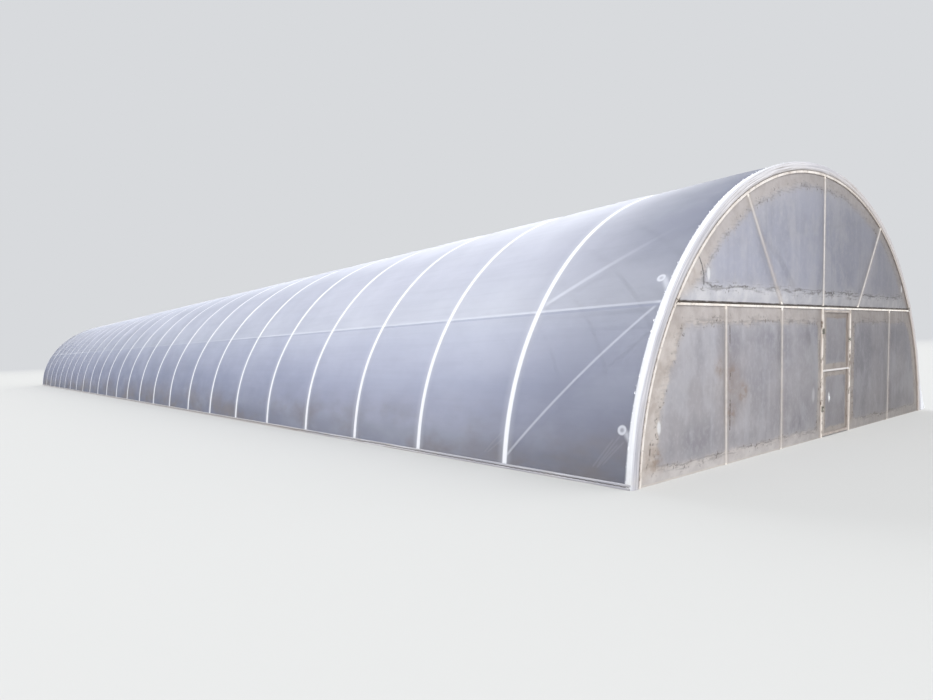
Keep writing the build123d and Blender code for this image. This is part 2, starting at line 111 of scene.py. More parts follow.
def solve_arch():
    """Radii, centres, angles and developed lengths of the three arcs of half the arch.

    The foot leans in, and each arc starts in the direction in which the one before it ends, so the
    last two radii follow from the span and the height."""
    lean, knee, haunch = (math.radians(a) for a in (LEAN, KNEE_END, HAUNCH_END))
    foot_top = (SPAN / 2 - LEG * math.sin(lean), LEG * math.cos(lean))
    x = foot_top[0] - KNEE_RADIUS * (math.cos(lean) - math.cos(knee))
    z = HEIGHT - foot_top[1] - KNEE_RADIUS * (math.sin(knee) - math.sin(lean))
    a, b = math.cos(knee) - math.cos(haunch), math.cos(haunch)
    c, d = math.sin(haunch) - math.sin(knee), 1 - math.sin(haunch)
    middle = (x * d - b * z) / (a * d - b * c)
    top = (a * z - c * x) / (a * d - b * c)
    radii = (KNEE_RADIUS, middle, top)
    starts = (lean, knee, haunch)
    stops = (knee, haunch, math.pi / 2)
    centres = []
    at = foot_top
    for radius, start, stop in zip(radii, starts, stops):
        centre = (at[0] - radius * math.cos(start), at[1] - radius * math.sin(start))
        centres.append(centre)
        at = (centre[0] + radius * math.cos(stop), centre[1] + radius * math.sin(stop))
    lengths = [r * (q - p) for r, p, q in zip(radii, starts, stops)]
    return radii, centres, starts, stops, lengths


RADII, CENTRES, STARTS, STOPS, LENGTHS = solve_arch()
HALF = LEG + sum(LENGTHS)
WHOLE = 2 * HALF


def arch(along, depth=0.0):
    """Points of the arch at these developed lengths from the left foot, this deep inside the outer
    face. Gives x, z and the outward normal's x and z. On each arc the angle grows evenly with the
    length, and depth is taken off the radius."""
    along, depth = np.broadcast_arrays(np.asarray(along, float), np.asarray(depth, float))
    half = np.minimum(along, WHOLE - along)
    side = np.where(along < HALF, -1.0, 1.0)
    lean = math.radians(LEAN)
    angle = np.full(half.shape, lean)
    x = SPAN / 2 - half * math.sin(lean) - depth * math.cos(lean)
    z = half * math.cos(lean) - depth * math.sin(lean)
    start = LEG
    for radius, centre, low, length in zip(RADII, CENTRES, STARTS, LENGTHS):
        here = half > start
        turn = low + (half - start) / radius
        angle = np.where(here, turn, angle)
        x = np.where(here, centre[0] + (radius - depth) * np.cos(turn), x)
        z = np.where(here, centre[1] + (radius - depth) * np.sin(turn), z)
        start += length
    return side * x, z, side * np.cos(angle), np.sin(angle)


def depth_at(x, z):
    """How far inside the arch's outer face a point of the gable lies."""
    x = np.abs(x)
    lean = math.radians(LEAN)
    depth = (SPAN / 2 - x) * math.cos(lean) - z * math.sin(lean)
    for radius, centre, low in zip(RADII, CENTRES, STARTS):
        here = np.arctan2(z - centre[1], x - centre[0]) > low
        depth = np.where(here, radius - np.hypot(x - centre[0], z - centre[1]), depth)
    return depth


def length_at_angle(degrees):
    """Developed length from the foot to the point of half the arch at this angle."""
    angle = math.radians(degrees)
    total = LEG
    for radius, low, high in zip(RADII, STARTS, STOPS):
        total += radius * (min(max(angle, low), high) - low)
    return total


FINE_S = np.linspace(0.0, HALF, 4000)


def reach_at(level, depth):
    """Half width of the arch, this deep, at these heights."""
    x, z, _, _ = arch(FINE_S, depth)
    return np.interp(level, z, -x)


def top_at(x, depth):
    """Height of the arch, this deep, over these places across the tunnel."""
    px, pz, _, _ = arch(FINE_S, depth)
    return np.interp(-np.abs(x), px, pz)


# Pieces


def grid_faces(rows, columns, close_columns=False):
    """Quads between neighbouring points of a grid, as indices into its points row by row.

    They face along the cross product of the way from row to row with the way from column to column."""
    index = np.arange(rows * columns).reshape(rows, columns)
    if close_columns:
        index = np.hstack([index, index[:, :1]])
    corners = (index[:-1, :-1], index[1:, :-1], index[1:, 1:], index[:-1, 1:])
    return np.stack(corners, -1).reshape(-1, 4)


def make_piece(name, points, faces, finish, slot, body="tunnel", marks=None, flip=False):
    """A mesh piece from points (n by 3) and quads (m by 4), smooth, riding on a body.

    marks are numbers for each point that the material reads as attributes."""
    points = np.asarray(points, float).reshape(-1, 3)
    faces = faces[:, ::-1] if flip else faces
    mesh = bpy.data.meshes.new(name)
    mesh.from_pydata(points.tolist(), [], faces.tolist())
    for mark, values in (marks or {}).items():
        layer = mesh.attributes.new(mark, "FLOAT", "POINT")
        values = np.zeros(len(points), np.float32) + np.asarray(values, np.float32).ravel()
        layer.data.foreach_set("value", values)
    held = bmesh.new()
    held.from_mesh(mesh)
    bmesh.ops.remove_doubles(held, verts=held.verts, dist=2e-6)
    held.to_mesh(mesh)
    held.free()
    mesh.polygons.foreach_set("use_smooth", np.ones(len(mesh.polygons), bool))
    mesh.materials.append(finish)
    piece = bpy.data.objects.new(name, mesh)
    bpy.context.scene.collection.objects.link(piece)
    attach(piece, body)
    return piece


def tube_points(path, radius, sides, across):
    """Rings of a round bar round a path (n by 3), and the quads between them.

    Each ring lies square to the path, turned so that its first point looks along across. The ends
    shrink to a point, so that the bar is closed."""
    path = np.asarray(path, float)
    run = np.gradient(path, axis=0)
    run /= np.linalg.norm(run, axis=1, keepdims=True)
    first = np.asarray(across, float) - run * (run @ np.asarray(across, float))[:, None]
    first /= np.linalg.norm(first, axis=1, keepdims=True)
    second = np.cross(run, first)
    turn = np.arange(sides) * 2 * math.pi / sides
    size = np.full(len(path), radius)
    path = np.vstack([path[:1], path, path[-1:]])
    first = np.vstack([first[:1], first, first[-1:]])
    second = np.vstack([second[:1], second, second[-1:]])
    size = np.concatenate([[0.0], size, [0.0]])
    ring = np.cos(turn)[None, :, None] * first[:, None] + np.sin(turn)[None, :, None] * second[:, None]
    points = path[:, None] + ring * size[:, None, None]
    return points, grid_faces(len(path), sides, close_columns=True)[:, ::-1]


def copies(points, faces, places, turns):
    """The same small shape at many places: points (n by 3) turned by each 3 by 3 matrix, then moved."""
    points = np.asarray(points, float).reshape(-1, 3)
    moved = np.einsum("kij,nj->kni", turns, points) + places[:, None]
    step = np.arange(len(places)) * len(points)
    return moved.reshape(-1, 3), (faces[None] + step[:, None, None]).reshape(-1, faces.shape[1])


def joined(parts):
    """Several (points, faces) as one."""
    points, faces, count = [], [], 0
    for p, f in parts:
        p = np.asarray(p, float).reshape(-1, 3)
        points.append(p)
        faces.append(f + count)
        count += len(p)
    return np.vstack(points), np.vstack(faces)


def waves(u, v, seed, sizes, count=7):
    """Smooth unevenness between about -1 and 1: a sum of plane waves in seeded directions."""
    chance = np.random.default_rng(seed)
    total = np.zeros(np.broadcast(u, v).shape)
    for _ in range(count):
        fu, fv = chance.uniform(0.5, 1.0, 2) * 2 * math.pi / np.asarray(sizes)
        total = total + np.sin(fu * u * chance.choice([-1, 1]) + fv * v + chance.uniform(0, 6.28))
    return total / count ** 0.5 / 1.5


# Finishes

EVEN = (1.0, 1.0, 1.0)  # the stretch of a grain that isn't drawn out


def linear(code):
    """The linear colour of an sRGB hex code."""
    parts = [int(code[i : i + 2], 16) / 255 for i in (1, 3, 5)]
    return tuple(c / 12.92 if c <= 0.04045 else ((c + 0.055) / 1.055) ** 2.4 for c in parts) + (1.0,)


# Kinds of node that need more than a name: settings, the sockets that feeds go to, the output used
KINDS = {
    "MapRange": ({"interpolation_type": "SMOOTHSTEP"}, range(5), 0),
    "Mix": ({"data_type": "RGBA"}, (0, 6, 7), 2),
    "VectorMath": ({}, (0, 1), 1),
    "Attribute": ({}, (), 2),
}


def put(kind, *feeds, tree=None, **own):
    """Adds a node and gives its output.

    feeds are what the sockets get, in their order or as a dictionary: numbers, colours' hex codes
    or other nodes' outputs. own are settings. The tree is that of the feeds, unless it is given. A
    kind in capitals is an operation of the Math node, which takes several numbers from left to
    right."""
    if kind.isupper():
        if len(feeds) > 2:
            return put(kind, put(kind, *feeds[:2]), *feeds[2:])
        kind, own = "Math", {"operation": kind}
    settings, sockets, output = KINDS.get(kind, ({}, range(3), 0))
    pairs = feeds[0] if feeds and isinstance(feeds[0], dict) else dict(zip(sockets, feeds))
    linked = [feed for feed in pairs.values() if isinstance(feed, bpy.types.NodeSocket)]
    made = (tree or linked[0].id_data).nodes.new("ShaderNode" + kind)
    for name, value in {**settings, **own}.items():
        setattr(made, name, value)
    for socket, feed in pairs.items():
        if isinstance(feed, bpy.types.NodeSocket):
            feed.id_data.links.new(feed, made.inputs[socket])
        else:
            made.inputs[socket].default_value = linear(feed) if isinstance(feed, str) else feed
    return made.outputs[output] if made.outputs else made


def new_finish(name):
    """An empty material and the places of the object that its patterns are drawn in."""
    made = bpy.data.materials.new(name)
    made.use_nodes = True
    made.node_tree.nodes.clear()
    return made, put("TexCoord", tree=made.node_tree).node.outputs["Object"]


def with_stops(colours, stops):
    """Gives a colour ramp its stops, each a place and a hex code."""
    held = colours.node.color_ramp.elements
    while len(held) > 1:
        held.remove(held[-1])
    held[0].position, held[0].color = stops[0][0], linear(stops[0][1])
    for place, code in stops[1:]:
        held.new(place).color = linear(code)
    return colours


def layered(colour, source, low, high, strength, code):
    """A colour with another laid on it, this strong where the source has stepped from low to high."""
    return put("Mix", put("MapRange", source, low, high, 0.0, strength), colour, code)


def stretched_noise(place, scale, stretch, detail=3.0, offset=(0.0, 0.0, 0.0)):
    """Noise whose grain is drawn out: stretch multiplies the coordinates before the noise."""
    moved = put("Mapping", {"Scale": stretch, "Location": offset, "Vector": place})
    return put("TexNoise", {"Scale": scale, "Detail": detail, "Roughness": 0.55, "Vector": moved})


def skinned(made, feeds):
    """An opaque material with this skin."""
    put("OutputMaterial", put("BsdfPrincipled", feeds))
    return made


def filmed(made, colour, share, bump, roughness, through):
    """Polythene: a glossy skin over a milky sheet, with a part that is plainly clear.

    share is how much of it is milky, through how much of the milk glows with light from behind."""
    look = {"Roughness": roughness, "IOR": 1.51, "Specular IOR Level": 0.25, "Base Color": colour}
    skin = put("BsdfPrincipled", {**look, "Normal": bump})
    glow = put("BsdfTranslucent", {"Color": colour, "Normal": bump})
    clear = put("BsdfTransparent", (0.97, 0.975, 0.985, 1.0), tree=made.node_tree)
    put("OutputMaterial", put("MixShader", share, clear, put("MixShader", through, skin, glow)))
    return made


def along_way(across, up, way, start):
    """How far a place of a plane lies from a start in the direction of a unit vector."""
    there = put("ADD", put("MULTIPLY", across, float(way[0])), put("MULTIPLY", up, float(way[1])))
    return put("SUBTRACT", there, float(way @ start))


def near_line(across, up, first, second, inner, outer):
    """A soft mask along the straight line between two points of a plane, as (across, up)."""
    start = np.array(first, float)
    run = np.array(second, float) - start
    length = float(np.linalg.norm(run))
    way = run / length
    along = along_way(across, up, way, start)
    away = put("ABSOLUTE", along_way(across, up, np.array([-way[1], way[0]]), start), 0.0)
    before = put("MapRange", along, -outer, outer)
    beyond = put("MapRange", along, length + outer, length - outer)
    return put("MULTIPLY", put("MapRange", away, outer, inner), put("MULTIPLY", before, beyond))


def near_point(place, point, inner, outer):
    """A soft round mask about a point."""
    return put("MapRange", put("VectorMath", place, point, operation="DISTANCE"), outer, inner)


def cover_film_finish():
    """Diffused greenhouse polythene, blown film stretched over the hoops and inflated between them.

    To the eye: milky blue-grey, dull with dirt near the foot, clearer in the first bay, with faint
    creases along the tunnel. Painted light and shade: paler up the side and over the crown, darker
    towards the foot, in the first bay and towards the back end. Pale lines of painted light stand
    for the lit tubes behind it: the hoops, the side purlin, the first bay's braces."""
    made, place = new_finish("cover_polythene")
    x, y, z = put("SeparateXYZ", place).node.outputs
    from_front = put("SUBTRACT", y, FRONT)
    from_end = put("MINIMUM", from_front, put("SUBTRACT", BACK, y))
    # painted light and shade: the film is paler up the side and over the crown and darker towards the foot
    pale = with_stops(
        put("ValToRGB", put("DIVIDE", z, HEIGHT)),
        ((0.0, "#9EA1B1"), (0.06, "#A8ABBA"), (0.11, "#B9BCCE"), (0.18, "#C1C5DA"), (0.26, "#CBD0E5"),
         (0.34, "#D9DDEF"), (0.42, "#E4E8F8"), (0.485, "#EAEEFC"), (0.495, "#F1F4FE"), (0.7, "#E7EAF8"),
         (0.84, "#DEE2F1"), (1.0, "#D6DAE9")),
    )
    # painted shade along the tunnel: darker in the first bay, palest from the second bay to the fifth, and
    # darker again towards the back end
    shade_along_tunnel = with_stops(
        put("ValToRGB", put("DIVIDE", from_front, BAY * BAYS)),
        ((0.0, "#C5C5C8"), (0.02, "#D1D1D4"), (0.035, "#E2E2E5"), (0.06, "#FBFBFC"), (0.14, "#F6F6F9"),
         (0.18, "#EAEBF0"), (0.25, "#DEE0E7"), (0.35, "#D3D6DF"), (0.5, "#CACED9"), (0.75, "#C8CBD6"),
         (0.9, "#C1C4CF"), (1.0, "#BFC1CA")),
    )
    colour = put("Mix", 1.0, pale, shade_along_tunnel, blend_type="MULTIPLY")
    # the dry upper part of each end bay is clearer, and painted shade darkens it there, for the dark inside
    # seen through it
    dry_and_shade = put("MULTIPLY", put("MapRange", from_end, 1.0, 0.1), put("MapRange", z, 1.15, 1.75, 0.0, 0.8))
    dry_and_shade = put("MULTIPLY", dry_and_shade, put("MapRange", z, 2.02, 2.12, 1.0, 0.7))
    colour = put("Mix", dry_and_shade, colour, "#8D92A7")
    # patches of mist about 0.8 m long
    mist = stretched_noise(place, 1.6, (0.5, 0.8, 1.6), 4.0)
    colour = layered(colour, mist, 0.35, 0.72, 0.10, "#F4F6FD")
    # creases along the tunnel, about 35 mm apart, with a faint painted shade along them; drawn coarser than
    # the 10 mm of real film
    crease = stretched_noise(place, 9.0, (1.0, 0.12, 3.2), 3.0)
    colour = layered(colour, crease, 0.45, 0.62, 0.04, "#8B90A3")
    # dirt splashed and smeared on the lowest half metre
    splash = stretched_noise(place, 1.5, (1.0, 0.8, 1.7), 4.0, (3.0, 0.0, 0.0))
    low = put("MapRange", z, 0.56, 0.02)
    soiled = put("MULTIPLY", put("MapRange", splash, 0.42, 0.68, 0.0, 0.7), low)
    colour = put("Mix", soiled, colour, "#918782")
    # wrinkles pulled up at the foot of the end hoops and of the hoops next to them
    fan = 0.0
    pulls = (((0.05, 0.26), (0.18, 0.12)), ((0.09, 0.24), (0.22, 0.10)), ((1.02, 0.20), (1.17, 0.09)))
    for top, foot in pulls:
        for gap in (0.0, 0.03):
            ends = (top[0] + gap, top[1] + gap), (foot[0] + gap, foot[1])
            fan = put("MAXIMUM", fan, near_line(from_end, z, *ends, 0.001, 0.009))
    colour = put("Mix", put("MULTIPLY", fan, 0.09), colour, "#E3E4EC")
    # painted light: pale lines for the lit braces of the first and last bay behind the film, fading where
    # they leave the film
    high = near_line(from_end, z, (-0.012, 1.644), (0.963, 1.093), 0.004, 0.024)
    high = put("MULTIPLY", high, put("MapRange", from_end, 0.12, 0.9, 0.0, 1.0))
    lower = near_line(from_end, z, (0.054, 1.018), (0.980, 0.091), 0.002, 0.014)
    tube = put("MULTIPLY", put("MAXIMUM", high, lower), 0.46)
    # the side purlin: a pale line of painted light for the lit tube behind the film, brighter by the hoops,
    # and a painted shade under it
    level = put("SUBTRACT", z, PURLIN_Z)
    reach = put("MapRange", from_end, 5.0, 9.0, 1.0, 0.3)
    shade = put("MapRange", put("ABSOLUTE", put("ADD", level, 0.017), 0.0), 0.011, 0.004)
    shade = put("MULTIPLY", shade, reach, 0.3)
    colour = put("Mix", shade, colour, "#9CA3BF")
    purlin_light = put("MapRange", put("ABSOLUTE", level, 0.0), 0.011, 0.003)
    beside = put("PINGPONG", from_front, BAY / 2)
    near = put("MapRange", beside, 0.08, 0.03, 0.0, 0.25)
    bright = put("ADD", put("MapRange", from_end, 0.1, 0.8, 0.36, 0.5), near)
    purlin_light = put("MULTIPLY", purlin_light, reach, bright)
    tube = put("MAXIMUM", tube, purlin_light)
    colour = put("Mix", tube, colour, "#F0F3FD")
    # painted light: a pale line over each hoop, about 44 mm wide, for the lit tube where the film lies on it,
    # and a softer painted glow beside it
    line = put("MapRange", beside, 0.029, 0.015)
    edge = put("MapRange", beside, 0.085, 0.020, 0.0, 0.28)
    edge = put("MULTIPLY", edge, put("MapRange", from_end, 0.3, 0.6))
    colour = put("Mix", edge, colour, "#F0F2FC")
    colour = put("Mix", line, colour, "#F8F9FE")
    # the hoses' flanges, 52 mm across, with the hose behind them running to the gable
    both = put("CombineXYZ", put("ABSOLUTE", x, 0.0), from_front, z)
    single = put("CombineXYZ", x, from_front, z)
    rings = 0.0
    for spot, point, front in ((both, HOSE_HIGH, (0.0, 1.098)), (single, HOSE_LOW, (0.008, 0.262))):
        away = put("VectorMath", spot, point, operation="DISTANCE")
        disc = put("MapRange", away, 0.034, 0.024)
        ring = put("MULTIPLY", disc, put("MapRange", away, 0.006, 0.020, 0.25, 0.76))
        left = put("MapRange", x, 0.5, 0.4) if point is HOSE_LOW else 1.0
        hose = near_line(from_front, z, front, (point[1] - 0.02, point[2] - 0.004), 0.002, 0.028)
        hose = put("MULTIPLY", hose, left, 0.55)
        rings = put("MAXIMUM", rings, put("MAXIMUM", ring, hose))
    colour = put("Mix", rings, colour, "#F4F6FE")
    share = put("MapRange", mist, 0.3, 0.75, 0.82, 0.9)
    # painted highlight: paler along the top of the crown
    colour = layered(colour, z, 1.86, 2.02, 0.12, "#FBFBFE")
    # over the crown the two films lie closer, and more light is thrown back
    crown = put("MapRange", z, 1.62, 1.95, 0.0, 0.5)
    dense = put("MAXIMUM", line, put("SUBTRACT", crown, dry_and_shade))
    dense = put("MAXIMUM", dense, put("MAXIMUM", tube, rings))
    share = put("MAXIMUM", share, dense)
    through = put("MULTIPLY", put("SUBTRACT", 1.0, dense), 0.36)
    bump = put("Bump", {"Strength": 0.15, "Distance": 0.006, "Height": crease})
    return filmed(made, colour, share, bump, 0.4, through)


def inner_film_finish():
    """The inner polythene of the pair, clearer than the outer one, with fine drops of condensation."""
    made, place = new_finish("inner_cover_polythene")
    mist = stretched_noise(place, 2.0, (0.6, 0.9, 1.4), 4.0)
    # drops about 12 mm apart; real ones are 3 mm
    drops = put("TexVoronoi", {"Scale": 80.0, "Vector": place})
    colour = layered("#DDE0E8", mist, 0.3, 0.7, 1.0, "#F2F4F8")
    share = put("MapRange", mist, 0.3, 0.75, 0.10, 0.2)
    bump = put("Bump", {"Strength": 0.2, "Distance": 0.002, "Height": drops})
    return filmed(made, colour, share, bump, 0.35, put("MULTIPLY", mist, 0.8))


def gable_film_finish():
    """Double gable polythene, held along its edges and slack between.

    To the eye: grey and misty in the middle with faint runs of condensation, a tan border where the
    two films lie together and hold dust, whitish over the beam, with specks of mould and wavy lines
    of dirty water where they part, and soft pale lines of painted light where the film lies on the posts."""
    made, place = new_finish("gable_polythene")
    x, _, z = put("SeparateXYZ", place).node.outputs
    marks = ("edge", "tone", "tide", "batten", "press")
    edge, tone, tide, batten, press = (put("Attribute", tree=made.node_tree, attribute_name=m) for m in marks)
    # the border's line wanders by up to 14 mm, with teeth of up to 8 mm
    wander = stretched_noise(place, 6.0, EVEN, 3.0)
    fine = stretched_noise(place, 30.0, EVEN, 4.0)
    ragged = put("ADD", edge, put("MapRange", wander, 0.25, 0.75, -0.014, 0.014))
    ragged = put("ADD", ragged, put("MapRange", fine, 0.3, 0.7, -0.008, 0.008))
    border = put("MapRange", ragged, 0.130, 0.096)
    # above the beam it fades into the mist
    border = put("MULTIPLY", border, put("MapRange", z, 1.25, 1.05, 0.45, 1.0))
    border = put("MAXIMUM", border, put("MapRange", ragged, 0.150, 0.060))
    # the misty middle: clouds half a metre across, and faint runs about 80 mm apart, with finer ones
    cloud = stretched_noise(place, 1.7, (1.0, 1.0, 0.8), 4.0)
    patch = stretched_noise(place, 5.5, (1.0, 1.0, 0.6), 5.0, (2.0, 5.0, 1.0))
    runs = stretched_noise(place, 8.0, (1.6, 1.6, 0.10), 3.0)
    lower = layered("#9F9BA0", cloud, 0.36, 0.62, 1.0, "#BEB9BB")
    upper = layered("#B0B1BF", cloud, 0.34, 0.66, 1.0, "#C7C8D6")
    middle = layered(lower, z, 1.0, 1.06, 1.0, upper)
    middle = layered(middle, patch, 0.46, 0.64, 0.42, "#DAD8DB")
    # fine frost of drops, drawn 28 mm across
    frost = stretched_noise(place, 36.0, (1.0, 1.0, 0.8), 4.0)
    middle = layered(middle, frost, 0.48, 0.64, 0.14, "#E6E4E6")
    middle = layered(middle, runs, 0.52, 0.72, 0.16, "#E0E0E6")
    middle = layered(middle, runs, 0.46, 0.3, 0.12, "#96949C")
    # the films draw together towards the border, so it is paler there
    middle = layered(middle, ragged, 0.23, 0.12, 0.22, "#DCD8DA")
    # dust in the border
    dust = stretched_noise(place, 11.0, EVEN, 5.0, (4.0, 1.0, 0.0))
    mottle = stretched_noise(place, 34.0, EVEN, 5.0)
    tan = layered("#C8B9AB", dust, 0.34, 0.66, 1.0, "#DFD3C8")
    tan = layered(tan, mottle, 0.40, 0.62, 0.2, "#EEE6DF")
    white = layered("#E0DFE4", dust, 0.32, 0.68, 1.0, "#FAF8F9")
    # paler along the arch above the beam and down by the foot, where the rain washes it
    tan = layered(tan, z, 1.05, 1.5, 0.4, "#C9C4C5")
    tan = layered(tan, z, 0.10, 0.03, 0.45, "#F0E8E0")
    # dustier just under the beam
    under = put("MULTIPLY", put("MapRange", z, 0.84, 0.94, 0.0, 0.4), put("MapRange", z, 1.045, 1.04))
    tan = put("Mix", under, tan, "#A8988C")
    colour = put("Mix", put("MULTIPLY", border, 0.9), middle, put("Mix", tone, tan, white))
    # wavy lines of dirty water where the films part, strongest over the beam
    waved = stretched_noise(place, 13.0, (0.45, 1.0, 5.0), 4.0, (0.0, 2.0, 3.0))
    zone = put("MULTIPLY", put("MapRange", ragged, 0.060, 0.085), put("MapRange", ragged, 0.138, 0.112))
    wavy = put("MULTIPLY", zone, put("MapRange", waved, 0.51, 0.58, 0.0, 0.55))
    colour = put("Mix", put("MULTIPLY", wavy, tide), colour, "#857F7C")
    broken = stretched_noise(place, 10.0, EVEN, 5.0, (7.0, 0.0, 0.0))
    line = put("MULTIPLY", put("MapRange", ragged, 0.094, 0.103), put("MapRange", ragged, 0.114, 0.105))
    line = put("MULTIPLY", line, put("MapRange", broken, 0.42, 0.60, 0.1, 0.75))
    colour = put("Mix", put("MULTIPLY", line, tide), colour, "#6B6561")
    # specks of mould, mostly near the border's inner side; drawn 9 mm across, coarser than real ones
    speck = stretched_noise(place, 52.0, (1.0, 1.0, 0.8), 4.0, (2.0, 0.0, 6.0))
    grown = put("MULTIPLY", put("MapRange", speck, 0.58, 0.66), put("MapRange", broken, 0.42, 0.54))
    inner = put("MULTIPLY", put("MapRange", ragged, 0.040, 0.085), put("MapRange", ragged, 0.140, 0.120))
    grown = put("MULTIPLY", grown, inner)
    colour = put("Mix", put("MULTIPLY", grown, 0.7), colour, "#6E6157")
    # a glow of dust in the film about the first post
    glow = near_line(x, z, (-1.50, 0.62), (-1.40, 0.40), 0.03, 0.30)
    colour = put("Mix", put("MULTIPLY", glow, 0.3), colour, "#C9B19C")
    # brown water marks by the first post and in the left border
    stain = stretched_noise(place, 16.0, (1.0, 1.0, 1.3), 6.0, (1.0, 4.0, 2.0))
    flat = put("CombineXYZ", {0: x, 2: z})
    for point, size in STAINS:
        spread = near_point(flat, (point[0], 0.0, point[1]), size * 0.2, size)
        spread = put("MULTIPLY", spread, put("MapRange", stain, 0.44, 0.64, 0.2, 0.65))
        colour = put("Mix", spread, colour, "#A48C78")
    # dark lines; the three right of the first post are a painted shadow of the post
    for first, second in DARK_LINES:
        mark = near_line(x, z, first, second, 0.002, 0.010)
        mark = put("MULTIPLY", mark, put("MapRange", mottle, 0.40, 0.54, 0.1, 0.65))
        colour = put("Mix", mark, colour, "#5B4B40")
    # a dark drooping line beside the left end of the beam
    droop_line = 0.0
    for first, second in zip(DROOP_LINE, DROOP_LINE[1:]):
        droop_line = put("MAXIMUM", droop_line, near_line(x, z, first, second, 0.002, 0.008))
    droop_line = put("MULTIPLY", droop_line, put("MapRange", mottle, 0.36, 0.52, 0.45, 0.9))
    colour = put("Mix", droop_line, colour, "#4B4A4D")
    # a dark brown line of painted shade along the top of the beam's clamp, for its groove, and a pale welt
    # along the foot
    held = put("MULTIPLY", put("MapRange", z, 1.0455, 1.0460), put("MapRange", z, 1.0540, 1.0500))
    held = put("MULTIPLY", held, put("MapRange", broken, 0.36, 0.5, 0.6, 0.97))
    colour = put("Mix", held, colour, "#41362F")
    colour = layered(colour, z, 0.014, 0.008, 0.7, "#EFE6DC")
    # dimmer to the right, where less light comes through the tunnel
    stops = ((0.0, "#FFFFFF"), (0.3, "#ECEBEB"), (0.5, "#D2D1D1"), (0.65, "#C6C4C3"), (1.0, "#B7B4B2"))
    dim = with_stops(put("ValToRGB", put("MapRange", x, -2.5, 2.5)), stops)
    colour = put("Mix", 1.0, colour, dim, blend_type="MULTIPLY")
    # painted shade: darker still in the upper right corner
    corner = put("MULTIPLY", put("MapRange", x, 0.7, 1.7, 0.0, 0.3), put("MapRange", z, 1.0, 1.25))
    colour = put("Mix", corner, colour, "#7F7A7B")
    # wet where it lies on a post, with a pale line of painted light for the lit post behind it and a dusty
    # fringe to each side
    fringe = put("SUBTRACT", 0.5, put("MULTIPLY", press, 0.2))
    fringe = put("MULTIPLY", put("MapRange", batten, 0.046, 0.014), fringe)
    fringe = put("MULTIPLY", fringe, put("MapRange", mottle, 0.36, 0.60, 0.35, 1.0))
    colour = put("Mix", fringe, colour, "#C4B6AC")
    lying = put("MULTIPLY", put("MapRange", batten, 0.017, 0.007), press)
    uneven = put("MapRange", fine, 0.3, 0.6, 0.75, 1.0)
    colour = put("Mix", put("MULTIPLY", lying, uneven), colour, "#F4F0ED")
    # the flanges of the air hoses, seen aslant as ovals
    narrow = put("CombineXYZ", {0: x, 2: put("MULTIPLY", z, 0.45)})
    for point, strength, size in FLANGES:
        oval = near_point(narrow, (point[0], 0.0, point[1] * 0.45), size * 0.4, size)
        colour = put("Mix", put("MULTIPLY", oval, strength), colour, "#FCFBFA")
    share = put("MapRange", cloud, 0.3, 0.7, 0.85, 0.9)
    share = put("ADD", share, put("MULTIPLY", border, 0.07))
    share = put("SUBTRACT", share, put("MULTIPLY", lying, 0.08))
    height = put("ADD", put("MULTIPLY", runs, 0.8), put("MULTIPLY", mottle, 0.2))
    bump = put("Bump", {"Strength": 0.2, "Distance": 0.004, "Height": height})
    return filmed(made, colour, share, bump, 0.28, put("MapRange", cloud, 0.0, 1.0, 0.25, 0.45))


def rim_film_finish():
    """Several layers of polythene wrapped over the end hoop and locked in the rim.

    To the eye: bright white on the outer edge where it is pulled tight over the tube, then a
    grey-blue band with fine creases that follow the arch."""
    made, place = new_finish("wrapped_polythene")
    across = put("Attribute", tree=made.node_tree, attribute_name="across")
    along = put("Attribute", tree=made.node_tree, attribute_name="along")
    band = with_stops(
        put("ValToRGB", across),
        ((0.0, "#B4B8C6"), (0.09, "#C2C6D2"), (0.14, "#F5F6FA"), (0.35, "#F7F8FC"), (0.40, "#D8D8DE"),
         (0.50, "#C3C1C8"), (0.60, "#CAC7CC"), (0.70, "#B9B6BC"), (0.78, "#D8D4D6"), (0.86, "#B6B1B4"),
         (0.94, "#CCC4C0"), (1.0, "#A69C93")),
    )
    # creases 5 mm apart that follow the arch for about 0.4 m, with painted shade and painted highlight along
    # them
    path = put("CombineXYZ", {0: along, 1: across})
    lines = stretched_noise(path, 1.0, (2.6, 26.0, 1.0), 4.0)
    colour = layered(band, lines, 0.44, 0.62, 0.45, "#8C919D")
    colour = layered(colour, lines, 0.44, 0.34, 0.5, "#F1F1F5")
    colour = layered(colour, across, 0.42, 0.34, 0.75, band)
    # whiter from the left haunch to the ridge, with lines of dirt in its folds
    face = put("MapRange", across, 0.35, 0.55)
    whiter_stretch = put("ABSOLUTE", put("SUBTRACT", along, HALF * 0.72), 0.0)
    whiter_stretch = put("MULTIPLY", put("MapRange", whiter_stretch, 0.9, 0.4), face)
    colour = put("Mix", put("MULTIPLY", whiter_stretch, 0.35), colour, "#F1EFF1")
    dirt = put("MULTIPLY", whiter_stretch, put("MapRange", lines, 0.53, 0.60, 0.0, 0.7))
    colour = put("Mix", dirt, colour, "#8B8078")
    dust = stretched_noise(place, 5.0, EVEN, 5.0)
    colour = layered(colour, dust, 0.55, 0.75, 0.35, "#C6BFB4")
    # from the ridge to the right foot it is greyer, with brown water in the folds by the ridge
    right = put("MULTIPLY", put("MapRange", along, HALF * 0.98, HALF * 1.2, 0.0, 0.6), face)
    colour = put("Mix", right, colour, "#C2B9B4")
    folds = stretched_noise(path, 1.0, (3.4, 15.0, 1.0), 4.0, (0.0, 3.0, 0.0))
    past = put("MapRange", along, HALF * 1.3, HALF * 1.1)
    ridge = put("MULTIPLY", put("MapRange", along, HALF * 0.93, HALF), past)
    ridge = put("MULTIPLY", ridge, put("MapRange", folds, 0.52, 0.62, 0.0, 0.55))
    colour = put("Mix", put("MULTIPLY", ridge, face), colour, "#8D7B6C")
    bump = put("Bump", {"Strength": 0.45, "Distance": 0.003, "Height": lines})
    return skinned(made, {"Roughness": 0.3, "IOR": 1.51, "Base Color": colour, "Normal": bump})


